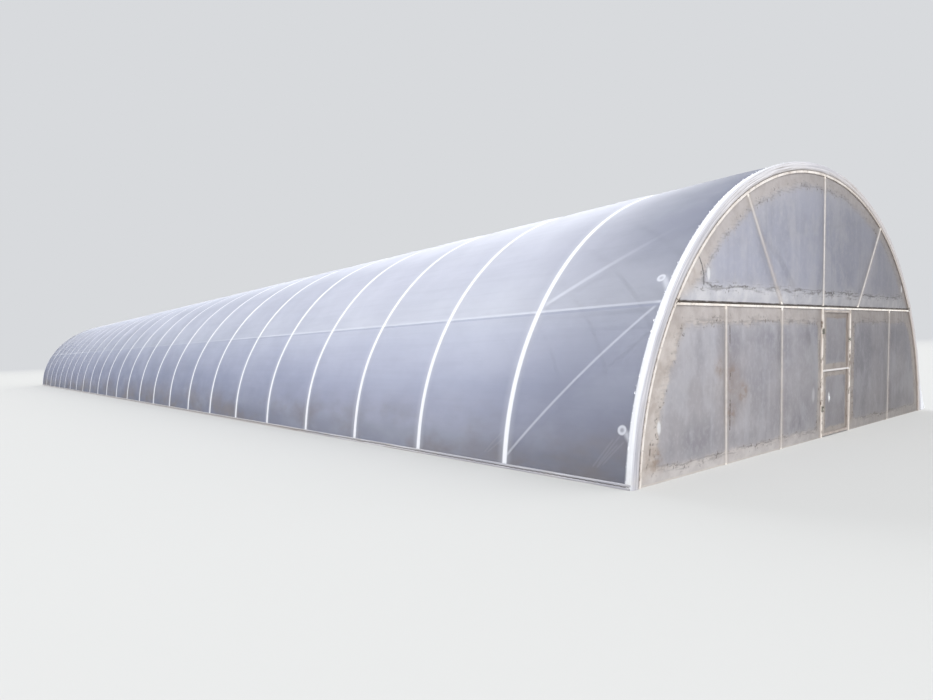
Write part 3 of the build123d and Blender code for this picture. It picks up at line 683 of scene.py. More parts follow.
def metal_finish(name, pale, dark, metallic, rough, grain, stretch, spangle=0.0, rust=0.0):
    """Bare or zinc-coated metal: two tones of the same grey in a drawn-out grain, brown where rust shows."""
    made, place = new_finish(name)
    tones = stretched_noise(place, grain, stretch, 4.0)
    colour = layered(dark, tones, 0.3, 0.7, 1.0, pale)
    if spangle:
        # zinc crystals about 8 mm across
        cells = put("TexVoronoi", {"Scale": 120.0, "Vector": place}).node.outputs["Color"]
        value = put("SeparateXYZ", cells)
        colour = layered(colour, value, 0.0, 1.0, spangle, dark)
    if rust:
        spots = stretched_noise(place, 24.0, EVEN, 6.0)
        colour = layered(colour, spots, 0.60, 0.72, rust, "#7A5236")
    roughness = put("MapRange", tones, 0.3, 0.7, rough - 0.06, rough + 0.1)
    bump = put("Bump", {"Strength": 0.12, "Distance": 0.001, "Height": tones})
    return skinned(made, {"Metallic": metallic, "Base Color": colour, "Roughness": roughness, "Normal": bump})


def clamp_finish(name, pale, dusty, worn, right_dust_and_shade=0.0):
    """Cream film clamp, extruded and weathered: dust and brown specks, and lumps of dirty film where
    it is worn. right_dust_and_shade says how much darker it is towards the right, with dust and painted
    shade."""
    made, place = new_finish(name)
    dust = stretched_noise(place, 9.0, EVEN, 5.0)
    colour = layered(pale, dust, 0.35, 0.7, 1.0, dusty)
    if right_dust_and_shade:
        # darker towards the right: dust and painted shade
        x = put("SeparateXYZ", place)
        colour = layered(colour, x, -0.3, 1.2, right_dust_and_shade, "#B3A8A0")
    lumps = stretched_noise(place, 17.0, (1.0, 1.0, 0.7), 5.0, (3.0, 0.0, 1.0))
    colour = layered(colour, lumps, 0.54, 0.64, worn, "#77665A")
    spots = stretched_noise(place, 46.0, EVEN, 3.0)
    colour = layered(colour, spots, 0.62, 0.72, 0.6, "#7C6A56")
    bump = put("Bump", {"Strength": 0.1, "Distance": 0.001, "Height": dust})
    return skinned(made, {"Roughness": 0.5, "IOR": 1.53, "Base Color": colour, "Normal": bump})


def filmed_frame_finish():
    """Box section with film drawn tight over it: dusty tan film, pale along the middle rail."""
    made, place = new_finish("film_over_box_section")
    z = put("SeparateXYZ", place).node.outputs[2]
    dust = stretched_noise(place, 12.0, (1.0, 1.0, 0.6), 5.0)
    colour = layered("#A1968F", dust, 0.34, 0.66, 1.0, "#BBB0A8")
    specks = stretched_noise(place, 38.0, EVEN, 4.0)
    colour = layered(colour, specks, 0.58, 0.68, 0.6, "#6F6055")
    rail = put("ABSOLUTE", put("SUBTRACT", z, 0.534), 0.0)
    colour = layered(colour, rail, 0.0075, 0.0070, 0.85, "#DEDAD9")
    bump = put("Bump", {"Strength": 0.25, "Distance": 0.002, "Height": dust})
    return skinned(made, {"Roughness": 0.34, "IOR": 1.51, "Base Color": colour, "Normal": bump})


def plastic_finish(name, pale, dark, rough, high=None):
    """Moulded or extruded plastic: one colour that dust dulls in soft patches. Above the beam it may
    be paler, where the rain washes it."""
    made, place = new_finish(name)
    dust = stretched_noise(place, 14.0, EVEN, 4.0)
    colour = layered(pale, dust, 0.35, 0.75, 1.0, dark)
    if high:
        z = put("SeparateXYZ", place).node.outputs[2]
        colour = layered(colour, z, 1.0, 1.3, 1.0, high)
    roughness = put("MapRange", dust, 0.3, 0.7, rough, rough + 0.15)
    bump = put("Bump", {"Strength": 0.06, "Distance": 0.001, "Height": dust})
    return skinned(made, {"IOR": 1.49, "Base Color": colour, "Roughness": roughness, "Normal": bump})


cover_polythene = cover_film_finish()
inner_polythene = inner_film_finish()
gable_polythene = gable_film_finish()
rim_polythene = rim_film_finish()
zinc_tube = metal_finish("galvanised_tube", "#E3E6EA", "#B9BEC4", 0.55, 0.42, 20.0, (1.0, 0.1, 1.0), 0.25)
zinc_frame = metal_finish(
    "galvanised_box_section", "#D3D5D6", "#A9ACAE", 0.55, 0.45, 20.0, (1.0, 1.0, 0.2), 0.25, 0.3
)
rail_aluminium = metal_finish(
    "mill_aluminium_rail", "#DDDFE2", "#B4B7BA", 0.85, 0.38, 30.0, (1.0, 0.02, 1.0)
)
hinge_zinc = metal_finish("zinc_plated_hinge", "#C9C6BE", "#86827A", 0.8, 0.4, 60.0, EVEN, 0.0, 0.8)
cream_clamp = clamp_finish("extruded_cream_clamp", "#F8F3EC", "#EADFD4", 0.25)
rim_clamp = clamp_finish("weathered_rim_clamp", "#EFE8E2", "#DCD2C9", 0.3, 0.85)
jamb_clamp = clamp_finish("worn_jamb_clamp", "#EDE5DD", "#D3C7BC", 0.9)
filmed_frame = filmed_frame_finish()
white_plastic = plastic_finish("moulded_white_plastic", "#F6F7FA", "#DCDDE0", 0.35)

for finish, nodes in (
    (zinc_tube, "hoops end_hoop_front end_hoop_back side_purlins upper_purlins braces_front braces_back"),
    (rail_aluminium, "base_rails"),
    (rim_clamp, "film_clamp_front film_clamp_back"),
    (zinc_frame, "gable_beam_front gable_beam_back gable_posts_front gable_posts_back door_jambs"),
    (cream_clamp, "gable_clamps_front gable_clamps_back"),
    (jamb_clamp, "door_jamb_clamps"),
    (filmed_frame, "door_frame"),
    (hinge_zinc, "door_hinges jamb_hinges door_latch latch_keeper"),
    (white_plastic, "air_jumpers door_air_collar"),
):
    for node in nodes.split():
        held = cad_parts[node].data.materials
        held.clear()
        held.append(finish)

# Cover

PARTS = ("skirt", "wall", "shoulder", "haunch", "crown")
STRIPS = ["cover_" + side + "_" + part for side in ("left", "right") for part in PARTS]


def cover_surface(steps_along, steps_round, depth_of):
    """A sheet over the whole tunnel: rows run from foot to foot, columns along the tunnel.

    Each point is the arch's point at its developed length, moved in by depth_of(length, y)."""
    shares = np.array([0.0, 0.018, 0.05, 0.12, 0.25, 0.5, 0.75, 0.88, 0.95, 0.982])[:: 10 // steps_along]
    y = (FRONT + (np.arange(BAYS)[:, None] + shares[None]) * BAY).ravel()
    y = np.concatenate([[FRONT - HOOP_HALF], y, [BACK, BACK + HOOP_HALF]])
    s = np.linspace(FILM_FOOT, WHOLE - FILM_FOOT, steps_round)
    grid_s, grid_y = np.meshgrid(s, y, indexing="ij")
    x, z, _, _ = arch(grid_s, depth_of(grid_s, grid_y))
    return np.stack([x, grid_y, z], -1)


def outer_depth(s, y):
    """How the inflated outer film lies: at the outer face in the middle of a bay, dipping in a soft
    V towards each hoop, less near the foot, where the rail holds it straight."""
    place = (y - FRONT) / BAY
    beside = np.abs(place - np.round(place)) * BAY
    dip = 0.012 * np.exp(-beside / 0.09)
    foot = np.minimum(s, WHOLE - s)
    held = 1 - np.exp(-foot / 0.25)
    sag = 0.0025 * (1 + waves(s, y, 3, (1.3, 0.8))) * held
    return dip * (0.35 + 0.65 * held) + np.clip(sag, 0, 0.006)


points = cover_surface(10, 150, outer_depth)
faces = grid_faces(*points.shape[:2])
outer = make_piece("cover_outer_film", points, faces, cover_polythene, "cover_film")
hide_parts(*STRIPS)

points = cover_surface(5, 90, lambda s, y: np.full(s.shape, 0.0198))
faces = grid_faces(*points.shape[:2])
inner = make_piece("cover_inner_film", points, faces, inner_polythene, "cover_film")

# Rim


def rim_surface(sign):
    """The cover's end wrapped over the end hoop: a profile of depth and distance out from the
    gable, carried along the arch. Creases that follow the arch lift it by under a millimetre."""
    profile = np.array([
        (0.0060, -0.0215), (0.0016, -0.0190), (0.0, -0.0120), (0.0, 0.0), (0.0, 0.0100), (0.0008, 0.0165),
        (0.0030, 0.0225), (0.0075, 0.0275), (0.0135, 0.0300), (0.0210, 0.0305), (0.0290, 0.0300),
        (0.0370, 0.0304), (0.0450, 0.0314), (0.0530, 0.0302), (0.0595, 0.0290), (0.0610, 0.0215),
    ])
    s = np.linspace(0.0, WHOLE, 900)
    t = np.linspace(0, 1, len(profile))
    grid_s, grid_t = np.meshgrid(s, t, indexing="ij")
    depth = profile[None, :, 0] + 0 * grid_s
    out = profile[None, :, 1] + 0 * grid_s
    face = (grid_t > 0.5) & (grid_t < 0.97)
    out = out + np.where(face, 0.0008 * waves(grid_s, grid_t, 11, (0.16, 0.22), 9), 0)
    depth = depth + np.where(grid_t < 0.3, 0.0006 * (1 + waves(grid_s, grid_t, 12, (0.09, 0.5))), 0)
    x, z, _, _ = arch(grid_s, np.clip(depth, 0, None))
    y = END[sign] + sign * out
    marks = {"across": grid_t, "along": grid_s}
    return np.stack([x, y, np.clip(z, 0.0, None)], -1), marks


def rim_tufts(sign):
    """Ruffles of the cover's cut edge, standing off the rim's outer edge about every 55 mm.

    Each is a small sheet 15 mm wide that waves in a full sine and stands 1 to 6 mm high, turned
    to the arch where it stands."""
    chance = np.random.default_rng(8)
    s = np.arange(0.05, WHOLE - 0.05, 0.055)
    s = s + chance.uniform(-0.025, 0.025, s.shape)
    across, up = np.meshgrid(np.linspace(-0.5, 0.5, 7), np.linspace(-0.2, 1.0, 4), indexing="ij")
    width = 0.0075 * (1 + np.cos(across * math.pi)) * across
    shape = np.stack([across * 0.015 - width * up, up * 0.0044, 0.0018 * np.sin(across * 6.28) * up], -1)
    x, z, nx, nz = arch(s)
    rise = chance.uniform(0.25, 1.35, s.shape)
    lean = chance.uniform(-0.5, 0.6, s.shape)
    out = np.stack([nx, -sign * lean, nz], -1)
    out *= (rise / np.linalg.norm(out, axis=1))[:, None]
    along = np.stack([-nz, 0 * s, nx], -1) * chance.uniform(0.7, 1.5, s.shape)[:, None]
    turns = np.stack([along, out, np.broadcast_to((0.0, 1.0, 0.0), along.shape)], -1)
    y = END[sign] - sign * chance.uniform(0.012, 0.020, s.shape)
    return copies(shape, grid_faces(7, 4), np.stack([x, y, z], -1), turns)


for end, sign in (("front", -1), ("back", 1)):
    points, marks = rim_surface(sign)
    rim = make_piece(
        "cover_rim_" + end, points, grid_faces(*points.shape[:2]), rim_polythene, "cover_film_edge",
        marks=marks, flip=sign < 0,
    )
    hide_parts("cover_hem_" + end)
    marks = {"across": 0.2, "along": 0.5}
    tufts = make_piece(
        "rim_tufts_" + end, *rim_tufts(sign), rim_polythene, "cover_film_edge", marks=marks, flip=sign < 0
    )

# Spring wires in the grooves

WIRE_RADIUS = 0.0011
WINDING = 0.05  # length of one wave of the wire
WIRE_STEP = 0.0125  # between its points


def rim_wire_and_shade(sign):
    """The spring wire in the rim's groove: a bar that winds between the groove's two sides, in a
    sine of 50 mm along the arch, with a dark strip of painted shade in the groove under it."""
    s = np.arange(0.02, WHOLE - 0.02, WIRE_STEP)
    depth = 0.0635 + 0.0016 * np.sin(s * 2 * math.pi / WINDING)
    x, z, _, _ = arch(s, depth)
    y = END[sign] + sign * (0.0262 + 0 * s)
    bar = tube_points(np.stack([x, y, z], -1), WIRE_RADIUS, 5, (0, 1, 0))
    # painted shade: a dark strip in the groove under the wire
    depths = np.array([0.0612, 0.0617, 0.0653, 0.0658])
    outs = np.array([0.0235, 0.0245, 0.0245, 0.0235])
    s = np.linspace(0.0, WHOLE, 700)
    x, z, _, _ = arch(s[:, None], depths[None])
    y = END[sign] + sign * (outs[None] + 0 * x)
    strip = np.stack([x, y, np.clip(z, 0.0, None)], -1)
    faces = grid_faces(*strip.shape[:2])
    return joined([bar, (strip, faces if sign > 0 else faces[:, ::-1])])


def beam_wire_and_shade(sign):
    """The spring wire along the top of the gable beam's clamp, winding in a sine of 50 mm, and a dark
    strip of painted shade in the groove behind it."""
    reach = float(reach_at(1.041, CLAMP_END)) - 0.004
    x = np.arange(-reach, reach, WIRE_STEP)
    z = 1.0412 + 0.0022 * np.sin(x * 2 * math.pi / WINDING)
    middle = END[sign]
    bars = [tube_points(np.stack([x, middle + sign * (0.0268 + 0 * x), z], -1), WIRE_RADIUS, 5, (0, 1, 0))]
    # the wires' cut ends cross at each end of the beam
    for side in (-1, 1):
        for low, high in ((1.032, 1.060), (1.062, 1.030)):
            t = np.linspace(0, 1, 6)
            across = side * (reach + 0.004 + 0.040 * (t - 0.5))
            level = low + (high - low) * t
            out = middle + sign * (0.0325 + 0.002 * np.sin(t * math.pi))
            bars.append(tube_points(np.stack([across, out, level], -1), 0.0016, 5, (0, 1, 0)))
    # painted shade: a dark strip in the groove behind the wire
    x = np.linspace(-reach, reach, 220)
    levels = np.array([1.0364, 1.0370, 1.0446, 1.0452])
    outs = np.array([0.0235, 0.0250, 0.0250, 0.0215])
    grid_x, grid_z = np.meshgrid(x, levels, indexing="ij")
    strip = np.stack([grid_x, middle + sign * (outs[None] + 0 * grid_x), grid_z], -1)
    faces = grid_faces(*strip.shape[:2])
    return joined(bars + [(strip, faces if sign < 0 else faces[:, ::-1])])


# the wires' coatings; they also colour the dark strips of painted shade in the grooves
spring_wire = plastic_finish("coated_spring_wire", "#54483E", "#342C27", 0.6)
rim_spring_wire = plastic_finish("coated_rim_wire", "#5E5147", "#3E352F", 0.6, "#A79F9B")
for end, sign in (("front", -1), ("back", 1)):
    make_piece("rim_wire_and_shade_" + end, *rim_wire_and_shade(sign), rim_spring_wire, "cream_clamp")
    make_piece("beam_wire_and_shade_" + end, *beam_wire_and_shade(sign), spring_wire, "cream_clamp")


def base_hem(side):
    """The cover's lower edge: over the rail's top corner, down its face, into the groove and out
    again, with a free hem below. A profile of x and height carried along the tunnel, whose hem
    waves by under a millimetre."""
    profile = np.array([
        (2.5169, 0.0315), (2.5198, 0.0307), (2.5206, 0.0290), (2.5206, 0.0200), (2.5202, 0.0188),
        (2.5175, 0.0182), (2.5158, 0.0150), (2.5175, 0.0118), (2.5202, 0.0112), (2.5207, 0.0100),
        (2.5209, 0.0060), (2.5212, 0.0012),
    ])
    y = np.linspace(FRONT - HOOP_HALF, BACK + HOOP_HALF, 501)
    t = np.linspace(0, 1, len(profile))
    grid_t, grid_y = np.meshgrid(t, y, indexing="ij")
    free = np.clip((grid_t - 0.8) / 0.2, 0, 1)
    x = profile[:, None, 0] + 0.0007 * free * (1 + waves(grid_y, grid_t, 31, (0.3, 4.0)))
    z = profile[:, None, 1] + 0 * grid_y
    marks = {"across": 0.42 + 0.3 * grid_t, "along": grid_y - FRONT}
    return np.stack([side * x, grid_y, z], -1), marks


def base_wire(side):
    """The spring wire in the base rail's groove, winding up and down in a sine of 50 mm."""
    y = np.arange(FRONT - HOOP_HALF + 0.01, BACK + HOOP_HALF - 0.01, WIRE_STEP)
    z = 0.015 + 0.0024 * np.sin(y * 2 * math.pi / WINDING)
    return tube_points(np.stack([side * (2.5184 + 0 * y), y, z], -1), WIRE_RADIUS, 5, (1, 0, 0))


for part, side in (("left", -1), ("right", 1)):
    points, marks = base_hem(side)
    hem = make_piece(
        "base_hem_" + part, points, grid_faces(*points.shape[:2]), rim_polythene, "cover_film_edge",
        marks=marks, flip=side < 0,
    )
    make_piece("base_wire_" + part, *base_wire(side), spring_wire, "rail_aluminium")


def foot_flare():
    """Spare film bunched at the rim's right foot: it hangs from the rim's outer edge, widens with
    the square of the way down, falls in three folds, and its tip curls out over the floor."""
    down, out = np.meshgrid(np.linspace(0, 1, 46), np.linspace(0, 1, 31), indexing="ij")
    level = 0.46 * (1 - down) ** 1.15 + 0.0012
    width = 0.006 + 0.105 * down ** 2.4
    fold = np.sin(out * 19 + 3 * down + waves(down, out, 41, (0.8, 0.7))) * (0.002 + 0.011 * down ** 1.5)
    root = reach_at(np.clip(level, 0, None), 0.0)
    x = root - 0.004 + width * out * (1 - 0.25 * np.sin(out * math.pi) * down)
    y = FRONT - 0.0215 - 0.012 * down - fold * np.minimum(1, out * 6)
    lift = 0.024 * np.clip(out - 0.45, 0, 1) * np.clip(down - 0.75, 0, 1) * 4
    z = level + lift * (1 + 0.5 * np.sin(out * 23)) * (level < 0.12)
    marks = {"across": 0.18 + 0.22 * np.abs(np.sin(out * 9.5 + 1.5 * down)), "along": down * 0.5}
    return np.stack([x, y, z], -1), marks


points, marks = foot_flare()
flare = make_piece(
    "rim_foot_flare", points, grid_faces(*points.shape[:2]), rim_polythene, "cover_film_edge", marks=marks
)


def saddle():
    """A saddle strap over a purlin: a flat bar 20 mm wide along a path of ear, half circle, ear.

    Its own axes are along the hoop, along the purlin, and inwards. Each end is closed by a fan
    round the middle of the bar's section."""
    turn = np.linspace(math.pi, 0, 9)
    path = [(-0.036, -0.0125), (-0.0148, -0.0125)]
    path += [(0.0140 * math.cos(a), 0.0140 * math.sin(a)) for a in turn]
    path += [(0.0148, -0.0125), (0.036, -0.0125)]
    path = np.array([path[0]] + path + [path[-1]])
    section = np.array([(-1, 0), (1, 0), (1, 1), (-1, 1)], float)
    rings = np.repeat(section[None], len(path), 0)
    rings[[0, -1]] = section.mean(0)
    across = path[:, None, 0] * (1 + 0.05 * rings[..., 1])
    inward = path[:, None, 1] + 0.0015 * rings[..., 1]
    points = np.stack([across, 0.010 * rings[..., 0], inward], -1)
    bar = (points, grid_faces(*points.shape[:2], close_columns=True)[:, ::-1])
    head = turned(((0.0050, 0.0), (0.0050, 0.004), (0.003, 0.0055)), 6)
    return joined([bar] + [moved(head, (side * 0.026, 0.0, -0.011)) for side in (-1, 1)])


def turned(profile, sides):
    """A small turned head: rings of each radius at each height, closed at both ends."""
    profile = np.array(profile, float)
    profile = np.vstack([[0, profile[0, 1]], profile, [0, profile[-1, 1]]])
    turn = np.arange(sides) * 2 * math.pi / sides
    ring = np.stack([np.cos(turn), np.sin(turn)], -1)
    levels = np.repeat(profile[:, None, 1:], sides, 1)
    points = np.concatenate([profile[:, None, :1] * ring[None], levels], -1)
    return points, grid_faces(len(profile), sides, close_columns=True)[:, ::-1]


def moved(shape, way):
    """A (points, faces) shape, moved."""
    return np.asarray(shape[0], float).reshape(-1, 3) + np.array(way), shape[1]


def purlin_saddles():
    """A saddle at each crossing of a hoop and a purlin, turned to the arch there."""
    low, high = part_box("side_purlins")
    side_x, side_z = high.x - 0.0127, (low.z + high.z) / 2
    low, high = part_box("upper_purlins")
    haunch_x, haunch_z, ridge_z = high.x - 0.0127, low.z + 0.0127, high.z - 0.0127
    centres = [(side * side_x, side_z) for side in (-1, 1)]
    centres += [(side * haunch_x, haunch_z) for side in (-1, 1)] + [(0.0, ridge_z)]
    places, turns = [], []
    px, pz, nx, nz = arch(np.linspace(0, WHOLE, 4000))
    for x, z in centres:
        near = int(np.argmin(np.hypot(px - x, pz - z)))
        out = np.array([nx[near], 0.0, nz[near]])
        along = np.array([-out[2], 0.0, out[0]])
        for i in range(BAYS + 1):
            places.append((x, FRONT + BAY * i, z))
            turns.append(np.stack([along, (0.0, 1.0, 0.0), -out], -1))
    return copies(*saddle(), np.array(places), np.array(turns))


make_piece("purlin_saddles", *purlin_saddles(), zinc_tube, "galvanised_steel")


def hinge_screws(x, levels):
    """Domed screw heads on a hinge leaf, two for each level, facing out of the gable."""
    points, faces = turned(((0.0027, 0.0), (0.0025, 0.0008), (0.0016, 0.0014)), 10)
    out = np.array([[1.0, 0, 0], [0, 0, -1.0], [0, 1.0, 0]])
    places = np.array([(x, FRONT - 0.0328, level + step) for level in levels for step in (-0.014, 0.014)])
    return copies(points, faces, places, np.repeat(out[None], len(places), 0))


for name, body, x in (("jamb_hinge_screws", "tunnel", -0.006), ("door_hinge_screws", "door", 0.026)):
    make_piece(name, *hinge_screws(x, (0.231, 0.848)), hinge_zinc, "hinge_steel", body)

# Gable films

strut_x, strut_z, _, _ = arch(length_at_angle(63.0))
STRUTS = [((s * 0.715, 1.040), (s * abs(float(strut_x)), float(strut_z))) for s in (-1, 1)]


def from_line(x, z, line):
    """Distance of points of the gable from a straight line through two points."""
    (ax, az), (bx, bz) = line
    length = math.hypot(bx - ax, bz - az)
    return np.abs((x - ax) * (bz - az) - (z - az) * (bx - ax)) / length


def film_panel(x, z, borders, lines, end, swell, whitish, tidy):
    """A gable film over a grid of x and z, swollen outwards between its borders and its battens.

    lines are the battens, each with how hard the film is pressed on it at its foot and at its top.

    The distance to the borders is their soft minimum, so that the corners are round. The swelling
    grows with it, and sinks to the batten's own face over each batten. whitish and tidy give, for
    each border, how white its dust is and how strong its tide line; each point takes a mean of
    them, weighed by how near the borders are."""
    gaps = np.stack([np.clip(b, 0, None) for b in borders])
    weight = np.exp(-gaps / 0.03)
    edge = np.clip(-0.03 * np.log(weight.sum(0)), 0, None)
    edge = np.where(gaps.min(0) < 0.02, np.minimum(edge, gaps.min(0)), edge)
    share = weight / weight.sum(0)
    tone = np.tensordot(np.asarray(whitish, float), share, 1)
    tide = np.tensordot(np.asarray(tidy, float), share, 1)
    rise = swell * (1 - np.exp(-edge / 0.10)) * (1 + 0.12 * waves(x, z, 4, (0.5, 0.7)))
    away = np.stack([from_line(x, z, line) for line, _, _ in lines])
    batten = away.min(0)
    rise_of = [np.clip((z - line[0][1]) / (line[1][1] - line[0][1]), 0, 1) for line, _, _ in lines]
    press = [foot + (top - foot) * up for up, (_, foot, top) in zip(rise_of, lines)]
    press = np.take_along_axis(np.stack(press), away.argmin(0)[None], 0)[0]
    on = np.exp(-((np.clip(batten - 0.011, 0, None) / 0.035) ** 2))
    rise = rise * (1 - on) + 0.0086 * on * (1 - np.exp(-edge / 0.006))
    puckers = 0.0014 * np.sin(x * 95 + 4 * waves(x, z, 5, (0.4, 0.4))) * np.exp(-edge / 0.06)
    rise = rise + puckers * (1 - np.exp(-edge / 0.01)) * (1 - on)
    sign, middle = (-1, FRONT) if end == "front" else (1, BACK)
    y = middle + sign * (FILM_FRONT - 0.001 + np.clip(rise, 0, None))
    marks = {"edge": edge, "tone": tone, "tide": tide, "batten": batten, "press": press}
    return np.stack([x, y, z], -1), marks


def upright_line(x):
    """A post's line, as two points."""
    return ((x, 0.0), (x, 1.0))


def flat_area(x, z):
    """Area of a grid in the gable's plane, from the cross products of its quads' diagonals."""
    ax, az = x[1:, 1:] - x[:-1, :-1], z[1:, 1:] - z[:-1, :-1]
    bx, bz = x[:-1, 1:] - x[1:, :-1], z[:-1, 1:] - z[1:, :-1]
    return float(np.abs(ax * bz - az * bx).sum() / 2)


def panel_piece(name, node, points, marks, end):
    """A gable film, held by the clamps of its end."""
    faces = grid_faces(*points.shape[:2])
    piece = make_piece(name, points, faces, gable_polythene, "gable_film", marks=marks, flip=end == "back")
    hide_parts(node)
    area = flat_area(points[..., 0], points[..., 2])


ARCH_IN = CLAMP_END + 0.0003


def upper_panel(end, columns, rows):
    """The half-round film over the beam: columns spread by a sine, rows from the beam to the arch."""
    width = float(reach_at(BEAM_HIGH, ARCH_IN))
    across = width * np.sin(np.linspace(-math.pi / 2, math.pi / 2, columns))
    up = np.linspace(0, 1, rows)
    x = np.repeat(across[:, None], rows, 1)
    z = BEAM_HIGH + (top_at(x, ARCH_IN) - BEAM_HIGH) * up[None]
    borders = [depth_at(x, z) - ARCH_IN, z - BEAM_HIGH]
    lines = [(STRUTS[0], 0.12, 0.8), (STRUTS[1], 0.8, 0.85), (upright_line(0.0), 0.95, 0.95)]
    points, marks = film_panel(x, z, borders, lines, end, 0.018, (0.0, 1.0), (0.45, 1.0))
    panel_piece("gable_upper_film_" + end, "gable_film_upper_" + end, points, marks, end)


def lower_panel(part, end, x_low, x_high, posts, columns, rows):
    """A film under the beam, between two edges given as functions of the height. posts are the
    posts' places, each with how hard the film is pressed on it."""
    level = np.linspace(0.0, BEAM_LOW, rows)
    low, high = x_low(level), x_high(level)
    share = np.linspace(0, 1, columns)
    x = low[None] + (high - low)[None] * share[:, None]
    z = np.repeat(level[None], columns, 0)
    borders = [(depth_at(x, z) - ARCH_IN) * 0.85, BEAM_LOW - z, z * 1.2 + 0.006]
    whitish, tidy = [0.1, 0.25, 0.35], [0.25, 0.5, 0.6]
    if part == "left":
        borders.append((high[None] - x) * 1.3)
    if part == "right":
        borders.append((x - low[None]) * 1.8)
    whitish, tidy = (whitish + [0.1])[: len(borders)], (tidy + [0.3])[: len(borders)]
    lines = [(upright_line(place), press, press) for place, press in posts]
    points, marks = film_panel(x, z, borders, lines, end, 0.018, whitish, tidy)
    panel_piece("gable_" + part + "_film_" + end, "gable_film_" + part + "_" + end, points, marks, end)


def arch_side(sign):
    """A film's edge along the arch, as a function of the height."""
    return lambda level: sign * reach_at(level, ARCH_IN)


def straight_side(x):
    """An upright edge of a film, as a function of the height."""
    return lambda level: np.full(level.shape, x)


upper_panel("front", 401, 91)
upper_panel("back", 301, 61)
lower_panel("left", "front", arch_side(-1), straight_side(JAMB_LEFT - JAMB_GAP), POSTS_LOW[:2], 201, 87)
lower_panel("right", "front", straight_side(JAMB_RIGHT + JAMB_GAP), arch_side(1), POSTS_LOW[2:], 161, 87)
lower_panel("lower", "back", arch_side(-1), arch_side(1), POSTS_BACK, 301, 61)

# Door panes, swollen a little out of their frame
panes = []
low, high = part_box("door_film")
for z_low, z_high in ((low.z, MID_RAIL[0]), (MID_RAIL[1], high.z)):
    share = np.linspace(0, 1, 41)
    x, z = np.meshgrid(low.x + (high.x - low.x) * share, z_low + (z_high - z_low) * share, indexing="ij")
    edge = np.minimum.reduce([x - low.x, high.x - x, z - z_low, z_high - z])
    y = (low.y + high.y) / 2 - 0.009 * (1 - np.exp(-edge / 0.06)) * (1 + 0.2 * waves(x, z, 21, (0.3, 0.3)))
    panes.append((np.stack([x, y, z], -1), grid_faces(41, 41), edge))
points, faces = joined([(p, f) for p, f, _ in panes])
edge = np.concatenate([e.ravel() for _, _, e in panes]) * 2.6
marks = {"edge": edge, "tone": 0.0, "tide": 0.2, "batten": 1.0, "press": 0.0}
pane = make_piece("door_panes", points, faces, gable_polythene, "gable_film", "door", marks=marks)
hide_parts("door_film")

# Stage, light and camera


def stage_floor():
    """A pale floor that fades into the backdrop's colour far from the tunnel."""
    made, place = new_finish("pale_floor")
    far = put("VectorMath", place, operation="LENGTH")
    plain = put("BsdfDiffuse", "#D3D3D1", tree=made.node_tree)
    glow = put("Emission", "#D8DADD", 1.0, tree=made.node_tree)
    mixed = put("MixShader", put("MapRange", far, 26.0, 90.0), plain, glow)
    put("OutputMaterial", mixed)
    size = 400.0
    mesh = bpy.data.meshes.new("floor")
    corners = [(-size, -size, -0.0006), (size, -size, -0.0006), (size, size, -0.0006), (-size, size, -0.0006)]
    mesh.from_pydata(corners, [], [(0, 1, 2, 3)])
    mesh.materials.append(made)
    floor = bpy.data.objects.new("floor", mesh)
    bpy.context.scene.collection.objects.link(floor)


stage_floor()

world = bpy.data.worlds.new("studio")
bpy.context.scene.world = world
world.use_nodes = True
tree = world.node_tree
tree.nodes.clear()
rays = put("LightPath", tree=tree).node.outputs
seen = put("MAXIMUM", rays["Is Glossy Ray"], rays["Is Transmission Ray"])
seen = put("MAXIMUM", rays["Is Camera Ray"], seen)
dim = put("Background", "#EEF1F6", 0.62, tree=tree)
pale = put("Background", "#D8DADD", 1.0, tree=tree)
put("OutputWorld", put("MixShader", seen, dim, pale))


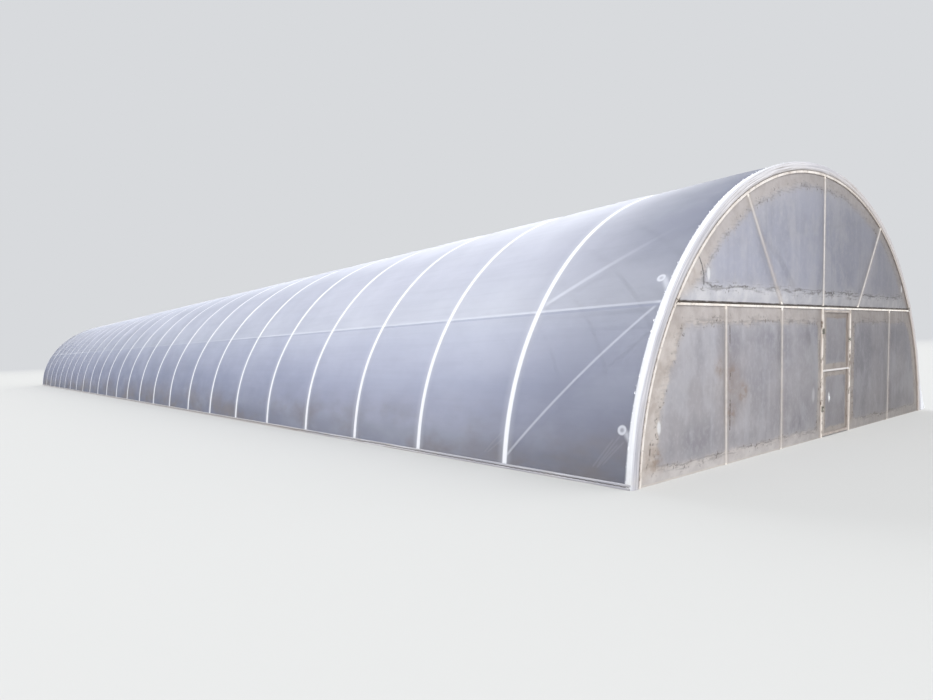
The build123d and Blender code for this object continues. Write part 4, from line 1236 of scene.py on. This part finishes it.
def lamp(name, kind, strength, place, target, **own):
    """A lamp at a place, looking at a target."""
    made = bpy.data.lights.new(name, kind)
    made.energy = strength
    for key, value in own.items():
        setattr(made, key, value)
    held = bpy.data.objects.new(name, made)
    back = np.array(place, float) - np.array(target, float)
    back /= np.linalg.norm(back)
    right = np.cross((0, 0, 1), back)
    right /= np.linalg.norm(right)
    turn = np.column_stack([right, np.cross(back, right), back])
    held.matrix_world = Matrix.Translation(place) @ Matrix(turn.tolist()).to_4x4()
    bpy.context.scene.collection.objects.link(held)


lamp("key", "SUN", 2.15, (-9.0, -20.0, 14.0), (0.0, -10.0, 0.5), angle=math.radians(35))
lamp("fill", "SUN", 0.6, (10.0, -18.0, 8.0), (0.0, -8.0, 0.5), angle=math.radians(60))
lamp("rear", "SUN", 1.6, (8.0, 26.0, 8.0), (0.0, 10.0, 0.5), angle=math.radians(60))


# The fit of the photograph's view, in the pixels of its width
PICTURE_WIDTH = 933
FOCAL_PIXELS = 636.167
SHIFT_PIXELS = 52.925
SENSOR = 36.0
VIEWPOINT = (-5.398155, -14.598945, 0.81553)
TURNS = (-0.69222, -0.08663, 0.03441)  # about z, then x, then y, in radians


def camera():
    """The photograph's view, fitted to the hoops, the gable and the line of the foot."""
    cz, sz, cx, sx, cr, sr = (f(a) for a in TURNS for f in (math.cos, math.sin))
    about_z = np.array([[cz, -sz, 0], [sz, cz, 0], [0, 0, 1]])
    about_x = np.array([[1, 0, 0], [0, cx, -sx], [0, sx, cx]])
    about_y = np.array([[cr, 0, sr], [0, 1, 0], [-sr, 0, cr]])
    right, ahead, up = (about_z @ about_x @ about_y).T
    made = bpy.data.cameras.new("camera")
    made.sensor_fit = "HORIZONTAL"
    made.sensor_width = SENSOR
    made.lens = SENSOR * FOCAL_PIXELS / PICTURE_WIDTH
    # the real tunnel falls away from the camera by 4.3 %; for a level one the same view needs
    # this much shift
    made.shift_y = SHIFT_PIXELS / PICTURE_WIDTH
    made.clip_start = 0.05
    made.clip_end = 1000.0
    held = bpy.data.objects.new("camera", made)
    turn = np.column_stack([right, up, -ahead])
    held.matrix_world = Matrix.Translation(VIEWPOINT) @ Matrix(turn.tolist()).to_4x4()
    bpy.context.scene.collection.objects.link(held)
    bpy.context.scene.camera = held


camera()
bpy.context.scene.view_settings.view_transform = "Standard"
